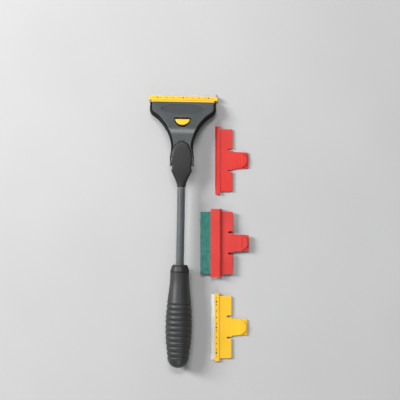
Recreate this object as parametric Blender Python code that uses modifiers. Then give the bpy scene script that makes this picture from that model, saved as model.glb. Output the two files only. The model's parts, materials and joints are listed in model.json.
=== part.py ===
"""Algae scraper: a gripped shaft, a tilting head, a latched blade tool and three spare tools.

Metres, +Z up.  The shaft runs along Y with the blade towards +Y.  The spare tools lie on the
same surface to the right of the shaft, their working edges towards it.
"""
import math

import bmesh
import bpy
from mathutils import Matrix, Vector

# ---------------------------------------------------------------- driving dimensions
GAP = 0.0003                    # between pieces that touch
CHORD = 32                      # sides of a full round

# Handle, measured along the shaft from the butt
GRIP_LENGTH = 0.1174
GRIP_RADII = (                  # (distance from the butt, radius over the crests)
    (0.0000, 0.0040), (0.0010, 0.0064), (0.0023, 0.0085), (0.0048, 0.0108), (0.0097, 0.0129),
    (0.0180, 0.0140), (0.0300, 0.0155), (0.0423, 0.0163), (0.0520, 0.0164), (0.0614, 0.0162),
    (0.0752, 0.0152), (0.0860, 0.0140), (0.0957, 0.0128), (0.1055, 0.0118), (0.1174, 0.0115))
GROOVE_FIRST = 0.0139
GROOVE_PITCH = 0.00647
GROOVE_COUNT = 11
GROOVE_DEPTH = 0.0011
SHOULDER = 0.0022               # rounding of the smooth lands beside the end grooves
CORE_RADIUS = 0.0087
CORE_START = 0.0066
CORE_HOLLOW_RADIUS = 0.0036
COLLAR_END = 0.1262
COLLAR_RADII = (0.0116, 0.0112, 0.0095, 0.0086)
COLLAR_RING = 0.0020            # length of the collar's widest ring
COLLAR_STEP = 0.0006
COLLAR_LIP = 0.0012

TUBE_RADIUS = 0.0049
TUBE_WALL = 0.0010
TUBE_START = 0.0465
TUBE_END = 0.2208
TUBE_EDGE = 0.0002
SPIGOT_LENGTH = 0.0160
SPIGOT_ROOT = 0.0030            # how far the spigot reaches into the knuckle

# Knuckle: one skin from the round socket to the flat oval lug
MOUTH_Y = 0.2211
NECK = (                        # (distance behind the pivot, half width) from the mouth to the waist
    (0.0343, 0.0052), (0.0332, 0.00525), (0.0295, 0.0060), (0.0258, 0.0073), (0.0221, 0.0089),
    (0.0176, 0.0110), (0.0144, 0.0124), (0.0128, 0.0126), (0.0120, 0.0123), (0.0104, 0.0118),
    (0.0060, 0.0118), (0.0030, 0.0122))
WAIST_BACK = 0.0060             # the neck has its full flat section from here
LUG_HALF = 0.0126               # half width and length of the lug's oval end, from the pivot
LUG_LENGTH = 0.0224
LUG_PROUD = 0.0020
LUG_ROUND = 0.0020
LUG_CROWN = 0.0003
LUG_STEPS = 12
FLAT_HALF = 0.0001              # least half width of the neck's flat top

# Tilt pivot
PIVOT_Y = 0.2554
PIN_RADIUS = 0.0024
PIN_CLEARANCE = 0.0002

# Head, drawn as a flat plate along S from the pivot and then bent
HEAD_BEND = math.radians(23)
BEND_RADIUS = 0.020
BEND_Y = 0.0346                 # the bend's corner, from the pivot
HEAD_REACH = 0.0701             # distance along the shaft from the pivot to the blade edge
HEAD_FRONT = 0.0036             # front face above the slot's middle plane
HEAD_BACK = -0.0056
HEAD_ROUND = 0.0020
PAST = 0.0020                   # how far a cutter runs past a face
CUTTER_HALF = 0.0200            # half height of a cutter that goes right through
EDGE_BAND = 0.0050              # outline points this near the blade edge belong to it
EAR_BACK = 0.0087
EAR_HALF = 0.0146
FORK_BACK_HALF = 0.0137         # half width between the ears, behind the pivot and at it
FORK_HALF = 0.0132
FORK_LENGTH = 0.0235
FORK_STEP = 0.0030              # where the space narrows, behind the pivot
WAIST_HALF = 0.0134
HEAD_HALF = 0.0407
SLOT_HALF = 0.0390
SLOT_DEPTH = 0.0128
SLOT_HALF_HEIGHT = 0.0014
CHANNEL_HALF = 0.0128
CHANNEL_DEPTH = 0.0328
CHANNEL_START = 0.0062
CHANNEL_FLOOR = -0.0042
COVER_BORDER = 0.0026           # rim of the head body left around the cover
COVER_ROUND = 0.0004
THINNING = 0.45                 # how much of the back is lost towards the blade edge
THIN_FROM = 0.0270              # distance from the blade edge where the thinning starts
WINDOW_WIDTH = 0.0206
WINDOW_FROM = 0.0213            # flat side, from the blade edge
WINDOW_DEPTH = 0.0131
FRAME_LOW = 0.0008              # depth of the window's frame under the face
FRAME_CLEAR = 0.0004            # space between the frame and the button
OVAL_SIZE = (0.0525, 0.0141)
OVAL_FROM_EDGE = 0.0097
OVAL_DEPTH = 0.0004

# Tools: Y outwards from the head's edge, Z up from the slot's middle plane
PLATE_WIDTH = 0.0773
PLATE_DEPTH = 0.0124
PLATE_THICK = 0.0022
PLATE_CORNER = 0.0018
PLATE_ROOT = 0.0012             # how far the plate reaches into the bar
NOTCH_HALF = 0.01435
NOTCH_DEPTH = 0.0059
TONGUE_END = 0.0321
TONGUE_THICK = 0.0018
TONGUE_HALVES = (0.0120, 0.0106, 0.0098)
TONGUE_CORNER = 0.0016
TONGUE_ROUND = 0.0003
TONGUE_STEP = 0.0016            # length over which the tongue narrows beside the plate's rear edge
TONGUE_TAIL = (-TONGUE_END, PLATE_THICK / 2 - TONGUE_THICK)
BUTTON_WIDTH = 0.0178
BUTTON_FROM = 0.0232
BUTTON_DEPTH = 0.0079
BUTTON_ROOT = 0.0002
BUTTON_TOP = 0.0031
BUTTON_ROUND = 0.0008
BAR_WIDTH = 0.0844
BAR_REAR = 0.0029
BAR_TOP = 0.0020
BAR_BOTTOM = -0.0017
BAR_FOOT = 0.0008               # length of the bar's flat underside
BAR_SHOULDER = (0.0082, 0.0015)
BAR_NOSE = (0.0088, 0.0009)
BLADE_WIDTH = 0.0814
BLADE_THICK = 0.0006
BLADE_EDGE_THICK = 0.00012
BLADE_GROUND = 0.0012
BLADE_SLOPE = math.radians(-20)
BLADE_EXIT = (0.0083, -0.0006)  # where the blade leaves its holder
BLADE_REACH = 0.0055
BLADE_HELD = 0.0032
CLAMP_WIDTH = 0.0824
CLAMP_THICK = 0.0010
CLAMP_BEVEL = 0.0004
PIP_OFFSETS = (0.0, 0.0043, 0.0123, 0.0202, 0.0281, 0.0318, 0.0365)
PIP_LARGE = (0.0, 0.0318)
PIP_RADIUS = 0.0005
PIP_LARGE_RADIUS = 0.0007
PIP_DEPTH = 0.0005
PIP_AT = 0.0064
PLASTIC_TOP = 0.0020
PLASTIC_FLAT = 0.0060           # where the plastic tool's bevel starts
PLASTIC_HEEL = -0.0019
PLASTIC_EDGE = (0.00905, -0.0024)
PLASTIC_EDGE_HIGH = 0.0003
SPONGE_BAR_WIDTH = 0.0842
SPONGE_BAR_REAR = 0.0014
SPONGE_BAR_REACH = 0.0151
SPONGE_BAR_TOP = 0.0048
SPONGE_BAR_SLOPE = (0.0038, 0.0026)     # end and start height of the slope behind the flat top
SPONGE_BEVEL = 0.0004
SPONGE_WALL = 0.0058
PAD_WIDTH = 0.0774
PAD_REACH = 0.0280
PAD_TOP = 0.0018
PAD_BOTTOM = -0.0056
PAD_OVER = 0.0010               # how much lower the pad reaches than its holder
PAD_CORNER = 0.0008

# Spare tools: (distance right of the shaft to the tool's zero line, place along the shaft)
PLASTIC_AT = (0.0502, 0.2558)
SPONGE_AT = (0.0525, 0.1537)
SPARE_AT = (0.0529, 0.0490)
SPARE_SLANT = 0.019             # the spare tools lean this much from the shaft's direction

GREY_FACE = (0.150, 0.162, 0.168)
GREY_BODY = (0.040, 0.040, 0.042)
YELLOW = (0.985, 0.590, 0.040)
RED = (0.790, 0.060, 0.038)
PINK_RED = (0.760, 0.075, 0.060)

COLLECTION = "algae_scraper"


# ---------------------------------------------------------------- scene helpers
def clear_scene():
    """Remove every object and the collections of an earlier run."""
    for old in list(bpy.data.objects):
        bpy.data.objects.remove(old, do_unlink=True)
    for old in list(bpy.data.collections):
        bpy.data.collections.remove(old)


def new_collection(name):
    """Return a collection linked to the scene."""
    made = bpy.data.collections.new(name)
    bpy.context.scene.collection.children.link(made)
    return made


def material(name, colour, roughness, metallic=0.0):
    """Return a Principled material with one colour."""
    made = bpy.data.materials.new(name)
    made.use_nodes = True
    shader = made.node_tree.nodes["Principled BSDF"]
    shader.inputs["Base Color"].default_value = (*colour, 1.0)
    shader.inputs["Roughness"].default_value = roughness
    shader.inputs["Metallic"].default_value = metallic
    return made


def empty(name, parent=None, location=(0, 0, 0), rotation=(0, 0, 0)):
    """Return an empty that carries the frame of a moving group."""
    made = bpy.data.objects.new(name, None)
    made.location = location
    made.rotation_euler = rotation
    made.parent = parent
    made.empty_display_size = 0.01
    parts.objects.link(made)
    return made


def add(name, mesh, surface, parent, origin=(0, 0, 0)):
    """Link a finished piece, its origin moved to a joint or seat of its parent frame."""
    mesh.transform(Matrix.Translation(-Vector(origin)))
    mesh.materials.clear()
    mesh.materials.append(surface)
    piece = bpy.data.objects.new(name, mesh)
    piece.location = origin
    piece.parent = parent
    parts.objects.link(piece)
    mesh.shade_smooth()
    mesh.set_sharp_from_angle(angle=math.radians(35))
    return piece


def evaluated(temporary):
    """Take the evaluated mesh of a temporary object with its own placing, and drop the object."""
    bpy.context.view_layer.update()
    ready = temporary.evaluated_get(bpy.context.evaluated_depsgraph_get())
    mesh = bpy.data.meshes.new_from_object(ready)
    mesh.transform(temporary.matrix_world)
    bpy.data.objects.remove(temporary, do_unlink=True)
    return mesh


def welded(mesh, distance=1e-6):
    """Merge a mesh's doubled points and turn its faces outwards."""
    work = bmesh.new()
    work.from_mesh(mesh)
    bmesh.ops.remove_doubles(work, verts=work.verts, dist=distance)
    bmesh.ops.recalc_face_normals(work, faces=work.faces)
    work.to_mesh(mesh)
    work.free()
    return mesh


# ---------------------------------------------------------------- shapes
def slab(outline, low, high, rounding=0.0, across=False):
    """Return a plate with the outline as its plan and the given bottom and top.

    With `rounding` the edges are rounded and the outline is the full one.  With `across` the
    outline is a side view in Y and Z, and low and high are places along X.
    """
    if rounding:
        outline = inset(outline, rounding)
    curve = bpy.data.curves.new("outline", "CURVE")
    curve.dimensions = "2D"
    curve.fill_mode = "BOTH"
    curve.extrude = (high - low) / 2 - rounding
    curve.bevel_depth = rounding
    curve.bevel_resolution = 2
    spline = curve.splines.new("POLY")
    spline.points.add(len(outline) - 1)
    for point, (along, up) in zip(spline.points, outline):
        point.co = (along, up, 0, 1)
    spline.use_cyclic_u = True
    temporary = bpy.data.objects.new("outline", curve)
    bpy.context.scene.collection.objects.link(temporary)
    lift = Matrix.Translation((0, 0, (low + high) / 2))
    if across:
        # X of the drawing becomes Y, Y becomes Z, and the thickness runs along X.
        turn = Matrix(((0, 0, 1, 0), (1, 0, 0, 0), (0, 1, 0, 0), (0, 0, 0, 1)))
        temporary.matrix_world = turn @ lift
    else:
        temporary.matrix_world = lift
    return welded(evaluated(temporary))


def cylinder(radius, length, centre, axis="X", sides=CHORD):
    """Return a closed cylinder about an axis through its centre."""
    work = bmesh.new()
    bmesh.ops.create_cone(work, cap_ends=True, segments=sides, radius1=radius, radius2=radius,
                          depth=length)
    turns = {"X": Matrix.Rotation(math.pi / 2, 4, "Y"), "Y": Matrix.Rotation(math.pi / 2, 4, "X"),
             "Z": Matrix.Identity(4)}
    bmesh.ops.transform(work, matrix=Matrix.Translation(centre) @ turns[axis], verts=work.verts)
    mesh = bpy.data.meshes.new("cylinder")
    work.to_mesh(mesh)
    work.free()
    return mesh


def box(low, high):
    """Return a closed box between two corners."""
    size = Vector(high) - Vector(low)
    centre = (Vector(high) + Vector(low)) / 2
    work = bmesh.new()
    bmesh.ops.create_cube(work, size=1.0)
    placing = Matrix.Translation(centre) @ Matrix.Diagonal((*size, 1.0))
    bmesh.ops.transform(work, matrix=placing, verts=work.verts)
    mesh = bpy.data.meshes.new("box")
    work.to_mesh(mesh)
    work.free()
    return mesh


def turned(profile, sides=CHORD):
    """Return a body turned about the shaft's axis from (place along Y, radius) points.

    The points run down the outer side from the blade end to the butt, and back up the bore.
    """
    mesh = bpy.data.meshes.new("profile")
    closed = profile[0][1] > 0
    edges = [(i, i + 1) for i in range(len(profile) - 1)]
    if closed:
        edges.append((len(profile) - 1, 0))
    mesh.from_pydata([(radius, 0, along) for along, radius in profile], edges, [])
    temporary = bpy.data.objects.new("profile", mesh)
    bpy.context.scene.collection.objects.link(temporary)
    screw = temporary.modifiers.new("turn", "SCREW")
    screw.axis = "Z"
    screw.steps = sides
    screw.render_steps = sides
    screw.use_merge_vertices = True
    screw.merge_threshold = 1e-6
    # The turning axis Z becomes the shaft's Y.
    temporary.matrix_world = Matrix.Rotation(-math.pi / 2, 4, "X")
    return welded(evaluated(temporary))


def combined(body, others, operation):
    """Join meshes to a body, or cut them from it, with exact Booleans."""
    temporary = bpy.data.objects.new("body", body)
    bpy.context.scene.collection.objects.link(temporary)
    tools = []
    for other in others:
        tool = bpy.data.objects.new("tool", other)
        tool.hide_render = True
        tool.display_type = "WIRE"
        cutters.objects.link(tool)
        step = temporary.modifiers.new(operation.lower(), "BOOLEAN")
        step.operation = operation
        step.solver = "EXACT"
        step.object = tool
        tools.append(tool)
    mesh = evaluated(temporary)
    for tool in tools:
        bpy.data.objects.remove(tool, do_unlink=True)
    return welded(mesh)


def cut(body, *others):
    """Cut every other mesh from the body."""
    return combined(body, others, "DIFFERENCE")


def join(body, *others):
    """Join every other mesh to the body."""
    return combined(body, others, "UNION")


# ---------------------------------------------------------------- outlines
def inset(outline, distance):
    """Move each side of a closed outline inwards, with mitred corners."""
    count = len(outline)
    area = sum(outline[i][0] * outline[(i + 1) % count][1] - outline[(i + 1) % count][0] * outline[i][1]
               for i in range(count))
    inward = distance if area > 0 else -distance
    moved = []
    for i in range(count):
        here = Vector(outline[i])
        before = (here - Vector(outline[i - 1])).normalized()
        after = (Vector(outline[(i + 1) % count]) - here).normalized()
        normal_a = Vector((-before.y, before.x))
        normal_b = Vector((-after.y, after.x))
        corner = (normal_a + normal_b) / (1 + normal_a.dot(normal_b))
        moved.append(tuple(here + corner * inward))
    return moved


def bezier(start, first, second, end, steps):
    """Return points along a cubic, without its start."""
    points = []
    for i in range(1, steps + 1):
        t = i / steps
        weights = ((1 - t) ** 3, 3 * t * (1 - t) ** 2, 3 * t * t * (1 - t), t ** 3)
        points.append(tuple(sum(w * p[axis] for w, p in zip(weights, (start, first, second, end)))
                            for axis in (0, 1)))
    return points


def arc(centre, radii, start, end, steps):
    """Return points along an elliptical arc, both ends included; angles are in degrees."""
    angles = [math.radians(start + (end - start) * i / steps) for i in range(steps + 1)]
    return [(centre[0] + radii[0] * math.cos(a), centre[1] + radii[1] * math.sin(a)) for a in angles]


def mirrored(half):
    """Close a right-hand half outline with its mirror image."""
    return half + [(-x, y) for x, y in reversed(half)]


def head_outline():
    """Return the flat outline of the head: ears, waist, flare and straight sides."""
    ear = (EAR_HALF, 0.0010)
    waist = (WAIST_HALF, 0.0150)
    flank = (0.0299, 0.0508)
    shoulder = (HEAD_HALF, 0.0635)
    half = [(EAR_HALF, -EAR_BACK), ear]
    half += bezier(ear, (EAR_HALF, 0.0065), (0.0131, 0.0095), waist, 6)
    half += bezier(waist, (0.0134, 0.0250), (0.0206, 0.0412), flank, 9)
    half += bezier(flank, (0.0345, 0.0554), (HEAD_HALF, 0.0575), shoulder, 7)
    half.append((HEAD_HALF, HEAD_EDGE))
    return mirrored(half)


def d_outline(width, flat_at, depth):
    """Return a D with its flat side towards the blade and its round side towards the handle."""
    return arc((0, flat_at), (width / 2, depth), 180, 360, 18)


def fork_outline():
    """Return the space that the head leaves for the lug: straight sides and an oval end."""
    back = -EAR_BACK - PAST
    left = [(-FORK_BACK_HALF, -FORK_STEP), (-FORK_BACK_HALF, back)]
    right = [(FORK_BACK_HALF, back), (FORK_BACK_HALF, -FORK_STEP)]
    return left + right + arc((0, 0), (FORK_HALF, FORK_LENGTH), 0, 180, 24)


# ---------------------------------------------------------------- the head's bend
BEND_TANGENT = BEND_RADIUS * math.tan(HEAD_BEND / 2)
BEND_START = BEND_Y - BEND_TANGENT
BEND_END = BEND_START + BEND_RADIUS * HEAD_BEND
HEAD_EDGE = BEND_END + (HEAD_REACH - BEND_Y) / math.cos(HEAD_BEND) - BEND_TANGENT
PLATE_MIDDLE = (HEAD_FRONT + HEAD_BACK) / 2


def bent(along, above):
    """Return the Y and Z from the pivot of a place on the bent plate."""
    angle = HEAD_BEND * min(max((along - BEND_START) / (BEND_END - BEND_START), 0.0), 1.0)
    on_arc = min(along, BEND_START) + BEND_RADIUS * math.sin(angle)
    drop = BEND_RADIUS * (1 - math.cos(angle))
    beyond = max(along - BEND_END, 0.0)
    y = on_arc + beyond * math.cos(angle) + above * math.sin(angle)
    z = -drop - beyond * math.sin(angle) + above * math.cos(angle) - PLATE_MIDDLE
    return y, z


def bend_plate(mesh):
    """Thin the flat head towards the blade edge and bend it, after cutting it into strips."""
    work = bmesh.new()
    work.from_mesh(mesh)
    strips = 8
    thin_start = HEAD_EDGE - THIN_FROM
    for i in range(strips + 1):
        at = BEND_START + (BEND_END - BEND_START) * i / strips
        geometry = work.verts[:] + work.edges[:] + work.faces[:]
        bmesh.ops.bisect_plane(work, geom=geometry, dist=1e-7, plane_co=(0, at, 0), plane_no=(0, 1, 0))
    geometry = work.verts[:] + work.edges[:] + work.faces[:]
    bmesh.ops.bisect_plane(work, geom=geometry, dist=1e-7, plane_co=(0, thin_start, 0), plane_no=(0, 1, 0))
    bmesh.ops.triangulate(work, faces=work.faces)
    for vertex in work.verts:
        across, along, above = vertex.co
        if above < -SLOT_HALF_HEIGHT:
            thin = THINNING * max(along - thin_start, 0.0) / THIN_FROM
            above = -SLOT_HALF_HEIGHT + (above + SLOT_HALF_HEIGHT) * (1 - thin)
        y, z = bent(along, above)
        vertex.co = (across, y, z)
    work.to_mesh(mesh)
    work.free()
    return mesh


# ---------------------------------------------------------------- handle
def grip_radius(along):
    """Return the grip's smooth radius by a Catmull-Rom curve through its named stations."""
    stations = GRIP_RADII
    index = 1
    while index < len(stations) - 1 and stations[index][0] < along:
        index += 1
    (x0, y0), (x1, y1) = stations[index - 1], stations[index]
    before = stations[max(index - 2, 0)]
    after = stations[min(index + 1, len(stations) - 1)]
    slope0 = (y1 - before[1]) / (x1 - before[0])
    slope1 = (after[1] - y0) / (after[0] - x0)
    t = (along - x0) / (x1 - x0)
    span = x1 - x0
    return ((2 * t ** 3 - 3 * t * t + 1) * y0 + (t ** 3 - 2 * t * t + t) * span * slope0
            + (3 * t * t - 2 * t ** 3) * y1 + (t ** 3 - t * t) * span * slope1)


def grip_profile():
    """Return the sleeve's outside from the collar end down to the butt: round ribs, sharp grooves."""
    last = GROOVE_FIRST + (GROOVE_COUNT - 1) * GROOVE_PITCH
    places = [(GRIP_LENGTH, 0.0), (0.1100, 0.0), (0.1010, 0.0), (0.0934, 0.0), (0.0865, 0.0)]
    places += [(last + SHOULDER, 0.0), (last + SHOULDER / 3, GROOVE_DEPTH / 3), (last, GROOVE_DEPTH)]
    for groove in reversed(range(GROOVE_COUNT - 1)):
        below = GROOVE_FIRST + groove * GROOVE_PITCH
        for share in (0.80, 0.50, 0.20, 0.0):
            places.append((below + share * GROOVE_PITCH, GROOVE_DEPTH * (2 * share - 1) ** 2))
    places += [(GROOVE_FIRST - SHOULDER / 3, GROOVE_DEPTH / 3), (GROOVE_FIRST - SHOULDER, 0.0)]
    places += [(along, 0.0) for along in (0.0085, 0.0050, 0.0024, 0.0008, 0.0)]
    return [(along, grip_radius(along) - depth) for along, depth in places]


def grip_sleeve(parent):
    """The ribbed soft sleeve, closed at the butt."""
    bore = CORE_RADIUS + GAP
    floor = CORE_START - GAP
    profile = grip_profile() + [(0.0, 0.0)]
    outside = [(GRIP_LENGTH, 0.0)] + profile
    body = turned(outside, sides=36)
    hollow = cylinder(bore, GRIP_LENGTH, (0, floor + GRIP_LENGTH / 2, 0), "Y")
    return add("grip_sleeve", cut(body, hollow), rubber, parent)


def grip_core(parent):
    """The hard core inside the sleeve, with the collar that shows above it."""
    face = GRIP_LENGTH + GAP
    ring, step, neck, mouth = COLLAR_RADII
    bore = TUBE_RADIUS + GAP
    bore_floor = TUBE_START - GAP
    ring_end = face + COLLAR_RING
    profile = [
        (COLLAR_END, bore), (COLLAR_END, mouth), (COLLAR_END - COLLAR_LIP, neck),
        (ring_end + COLLAR_STEP, step), (ring_end, ring), (face, ring), (face, CORE_RADIUS),
        (CORE_START, CORE_RADIUS),
        (CORE_START, CORE_HOLLOW_RADIUS), (bore_floor, CORE_HOLLOW_RADIUS), (bore_floor, bore)]
    return add("grip_core", turned(profile), dark_plastic, parent)


def shaft_tube(parent):
    """The thin metal tube between the grip and the knuckle."""
    inner = TUBE_RADIUS - TUBE_WALL
    edge = TUBE_EDGE
    profile = [
        (TUBE_END, inner), (TUBE_END, TUBE_RADIUS - edge), (TUBE_END - edge, TUBE_RADIUS),
        (TUBE_START + edge, TUBE_RADIUS), (TUBE_START, TUBE_RADIUS - edge), (TUBE_START, inner)]
    return add("shaft_tube", turned(profile), painted_tube, parent)


def neck_half_outline():
    """Return the neck's right half outline from the tube's mouth to the tip of the lug."""
    half = [(width, PIVOT_Y - back) for back, width in NECK]
    for i in range(LUG_STEPS):
        angle = math.pi / 2 * i / LUG_STEPS
        half.append((LUG_HALF * math.cos(angle), PIVOT_Y + LUG_LENGTH * math.sin(angle)))
    half.append((0.0, PIVOT_Y + LUG_LENGTH))
    return half


def neck_levels(along):
    """Return the neck's underside, top, side rounding and rim rounding at a place."""
    share = min(max((along - MOUTH_Y) / (PIVOT_Y - WAIST_BACK - MOUTH_Y), 0.0), 1.0)
    share = share * share * (3 - 2 * share)
    mouth = NECK[0][1]
    low = -mouth + share * (HEAD_BACK - PLATE_MIDDLE + mouth)
    high = mouth + share * (HEAD_FRONT - PLATE_MIDDLE + LUG_PROUD - mouth)
    across = mouth + share * (LUG_ROUND - mouth)
    return low, high, across, min(across, (high - low) / 2)


def neck_body():
    """Loft the socket and the lug in one smooth skin, round at the mouth and flat at the lug."""
    work = bmesh.new()
    half = neck_half_outline()
    quarter = 4
    rings = []
    for index, (width, along) in enumerate(half):
        low, high, across, rim = neck_levels(along)
        before = Vector(half[max(index - 1, 0)])
        after = Vector(half[min(index + 1, len(half) - 1)])
        way = (after - before).normalized()
        if index == len(half) - 1:
            way = Vector((-1.0, 0.0))
        side = []
        for level, sign in ((low, -1), (high, 1)):
            for k in range(quarter + 1):
                angle = math.pi / 2 * k / quarter if sign > 0 else math.pi / 2 * (1 - k / quarter)
                inward = across * (1 - math.cos(angle))
                x = max(width - way.y * inward, FLAT_HALF if width else 0.0)
                y = along + way.x * inward
                side.append((x, y, level - sign * rim * (1 - math.sin(angle))))
        crown = (0.0, side[-1][1], side[-1][2] + LUG_CROWN * min(side[-1][0] / LUG_HALF, 1.0))
        keel = (0.0, side[0][1], side[0][2])
        ring = [keel] + side + [crown] + [(-x, y, z) for x, y, z in reversed(side)]
        rings.append([work.verts.new(place) for place in ring])
    for lower, upper in zip(rings, rings[1:]):
        for i in range(len(lower)):
            j = (i + 1) % len(lower)
            work.faces.new((lower[i], lower[j], upper[j], upper[i]))
    work.faces.new(rings[0])
    bmesh.ops.remove_doubles(work, verts=work.verts, dist=1e-6)
    bmesh.ops.dissolve_degenerate(work, edges=work.edges, dist=1e-7)
    bmesh.ops.recalc_face_normals(work, faces=work.faces)
    mesh = bpy.data.meshes.new("neck")
    work.to_mesh(mesh)
    work.free()
    return mesh


def neck_knuckle(parent):
    """The socket with its spigot in the tube and the oval lug between the head's ears."""
    spigot_radius = TUBE_RADIUS - TUBE_WALL - GAP
    spigot_end = MOUTH_Y + SPIGOT_ROOT
    spigot_start = MOUTH_Y - SPIGOT_LENGTH
    spigot = cylinder(spigot_radius, spigot_end - spigot_start, (0, (spigot_start + spigot_end) / 2, 0), "Y")
    hole = cylinder(PIN_RADIUS + PIN_CLEARANCE, 4 * LUG_HALF, (0, PIVOT_Y, 0))
    return add("neck_knuckle", cut(join(neck_body(), spigot), hole), dark_plastic, parent)


# ---------------------------------------------------------------- head
def pivot_pin(parent):
    """The cross pin that the head tilts on."""
    length = 2 * (EAR_HALF - GAP)
    return add("pivot_pin", cylinder(PIN_RADIUS, length, (0, 0, 0)), steel, parent)


def reaching(outline, edge):
    """Move the outline's points near the blade edge to the given place."""
    return [(x, edge if s > HEAD_EDGE - EDGE_BAND else s) for x, s in outline]


def head_body(parent):
    """The back moulding: fork, side rims, tool slot and the latch's channel."""
    outline = head_outline()
    body = slab(outline, HEAD_BACK, HEAD_FRONT, rounding=HEAD_ROUND)
    fork = slab(fork_outline(), -CUTTER_HALF, CUTTER_HALF)
    hole = cylinder(PIN_RADIUS + PIN_CLEARANCE, 4 * EAR_HALF, (0, 0, PLATE_MIDDLE))
    recess = slab(reaching(inset(outline, COVER_BORDER), HEAD_EDGE + PAST), SLOT_HALF_HEIGHT,
                  HEAD_FRONT + PAST)
    slot = box((-SLOT_HALF, HEAD_EDGE - SLOT_DEPTH, -SLOT_HALF_HEIGHT),
               (SLOT_HALF, HEAD_EDGE + PAST, SLOT_HALF_HEIGHT + GAP / 3))
    channel = box((-CHANNEL_HALF, HEAD_EDGE - CHANNEL_DEPTH, CHANNEL_FLOOR),
                  (CHANNEL_HALF, HEAD_EDGE - CHANNEL_START, SLOT_HALF_HEIGHT + GAP / 3))
    return add("head_body", bend_plate(cut(body, fork, hole, recess, slot, channel)), dark_plastic, parent)


def window_outline(shrink):
    """Return the window's D, smaller by the given margin on every side."""
    return d_outline(WINDOW_WIDTH - 2 * shrink, HEAD_EDGE - WINDOW_FROM - shrink, WINDOW_DEPTH - 2 * shrink)


def head_cover(parent):
    """The front moulding: the grey face with the latch window and the plain oval."""
    outline = reaching(inset(head_outline(), COVER_BORDER + GAP), HEAD_EDGE)
    plate = slab(outline, SLOT_HALF_HEIGHT + GAP, HEAD_FRONT, rounding=COVER_ROUND)
    fork = slab(fork_outline(), -CUTTER_HALF, CUTTER_HALF)
    window = slab(window_outline(0.0), 0, CUTTER_HALF)
    oval_centre = (0, HEAD_EDGE - OVAL_FROM_EDGE)
    oval_halves = (OVAL_SIZE[0] / 2, OVAL_SIZE[1] / 2)
    oval = slab(arc(oval_centre, oval_halves, 0, 350, 35), HEAD_FRONT - OVAL_DEPTH, CUTTER_HALF)
    return add("head_cover", bend_plate(cut(plate, fork, window, oval)), grey_face, parent)


def window_frame(parent):
    """The dark ring that lines the window and surrounds the latch button."""
    ring = slab(window_outline(GAP), SLOT_HALF_HEIGHT + GAP, HEAD_FRONT - FRAME_LOW)
    flat = HEAD_EDGE - BUTTON_FROM + FRAME_CLEAR
    opening = slab(d_outline(BUTTON_WIDTH + 2 * FRAME_CLEAR, flat, BUTTON_DEPTH + 2 * FRAME_CLEAR),
                   0, CUTTER_HALF)
    return add("window_frame", bend_plate(cut(ring, opening)), dark_plastic, parent)


# ---------------------------------------------------------------- tools
def holder_plate():
    """The flat tongue-and-plate part of a holder that enters the head's slot."""
    half = PLATE_WIDTH / 2
    corner = PLATE_CORNER
    notch_floor = -(PLATE_DEPTH - NOTCH_DEPTH)
    right = [(NOTCH_HALF, notch_floor), (NOTCH_HALF, -PLATE_DEPTH)]
    right += arc((half - corner, -PLATE_DEPTH + corner), (corner, corner), 270, 360, 4)
    right.append((half, BAR_REAR + PLATE_ROOT))
    return slab(mirrored(right), -PLATE_THICK / 2, PLATE_THICK / 2)


def latch_tongue(name, surface, parent):
    """The springy tongue with its D button; its origin is on the line that it bends about."""
    root = -(PLATE_DEPTH - NOTCH_DEPTH) - GAP
    wide, middle, narrow = TONGUE_HALVES
    corner = TONGUE_CORNER
    right = [(wide, root), (wide, -PLATE_DEPTH), (middle, -PLATE_DEPTH - TONGUE_STEP)]
    right += arc((narrow - corner, -TONGUE_END + corner), (corner, corner), 0, -90, 4)
    top = PLATE_THICK / 2
    plate = slab(mirrored(right), top - TONGUE_THICK, top, rounding=TONGUE_ROUND)
    button = slab(d_outline(BUTTON_WIDTH, -BUTTON_FROM, BUTTON_DEPTH), BUTTON_ROOT, BUTTON_TOP,
                  rounding=BUTTON_ROUND)
    return add(name, join(plate, button), surface, parent, origin=(0, root, top - TONGUE_THICK / 2))


def on_blade(along, above):
    """Return the tool's Y and Z of a place given along and above the sloping blade."""
    c, s = math.cos(BLADE_SLOPE), math.sin(BLADE_SLOPE)
    return (BLADE_EXIT[0] + along * c - above * s, BLADE_EXIT[1] + along * s + above * c)


def blade_holder(name, surface, parent):
    """The holder of a steel blade: plate, sloping bar and a row of dimples."""
    half_blade = BLADE_THICK / 2
    pocket = -BLADE_HELD - GAP
    profile = [
        (BAR_REAR, BAR_BOTTOM), (BAR_REAR + BAR_FOOT, BAR_BOTTOM),
        on_blade(pocket, -half_blade - CLAMP_THICK - 2 * GAP), on_blade(pocket, half_blade + GAP),
        on_blade(0.0, half_blade + GAP), BAR_NOSE, BAR_SHOULDER, (BAR_REAR, BAR_TOP)]
    nose = (PIP_AT - BAR_REAR) / (BAR_SHOULDER[0] - BAR_REAR)
    top = BAR_TOP + nose * (BAR_SHOULDER[1] - BAR_TOP)
    bar = slab(profile, -BAR_WIDTH / 2, BAR_WIDTH / 2, across=True)
    dimples = []
    for offset in PIP_OFFSETS:
        radius = PIP_LARGE_RADIUS if offset in PIP_LARGE else PIP_RADIUS
        for side in ((1,) if offset == 0 else (-1, 1)):
            dimples.append(cylinder(radius, 2 * PIP_DEPTH, (side * offset, PIP_AT, top), "Z", sides=10))
    return add(name, cut(join(bar, holder_plate()), *dimples), surface, parent)


def clamp_strip(name, surface, parent):
    """The strip under the blade that holds it to the bar."""
    top = -BLADE_THICK / 2 - GAP
    corners = ((-BLADE_HELD, top), (-BLADE_HELD, top - CLAMP_THICK), (-CLAMP_BEVEL, top - CLAMP_THICK),
               (0.0, top - CLAMP_THICK / 2), (0.0, top))
    profile = [on_blade(*corner) for corner in corners]
    return add(name, slab(profile, -CLAMP_WIDTH / 2, CLAMP_WIDTH / 2, across=True), surface, parent)


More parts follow.
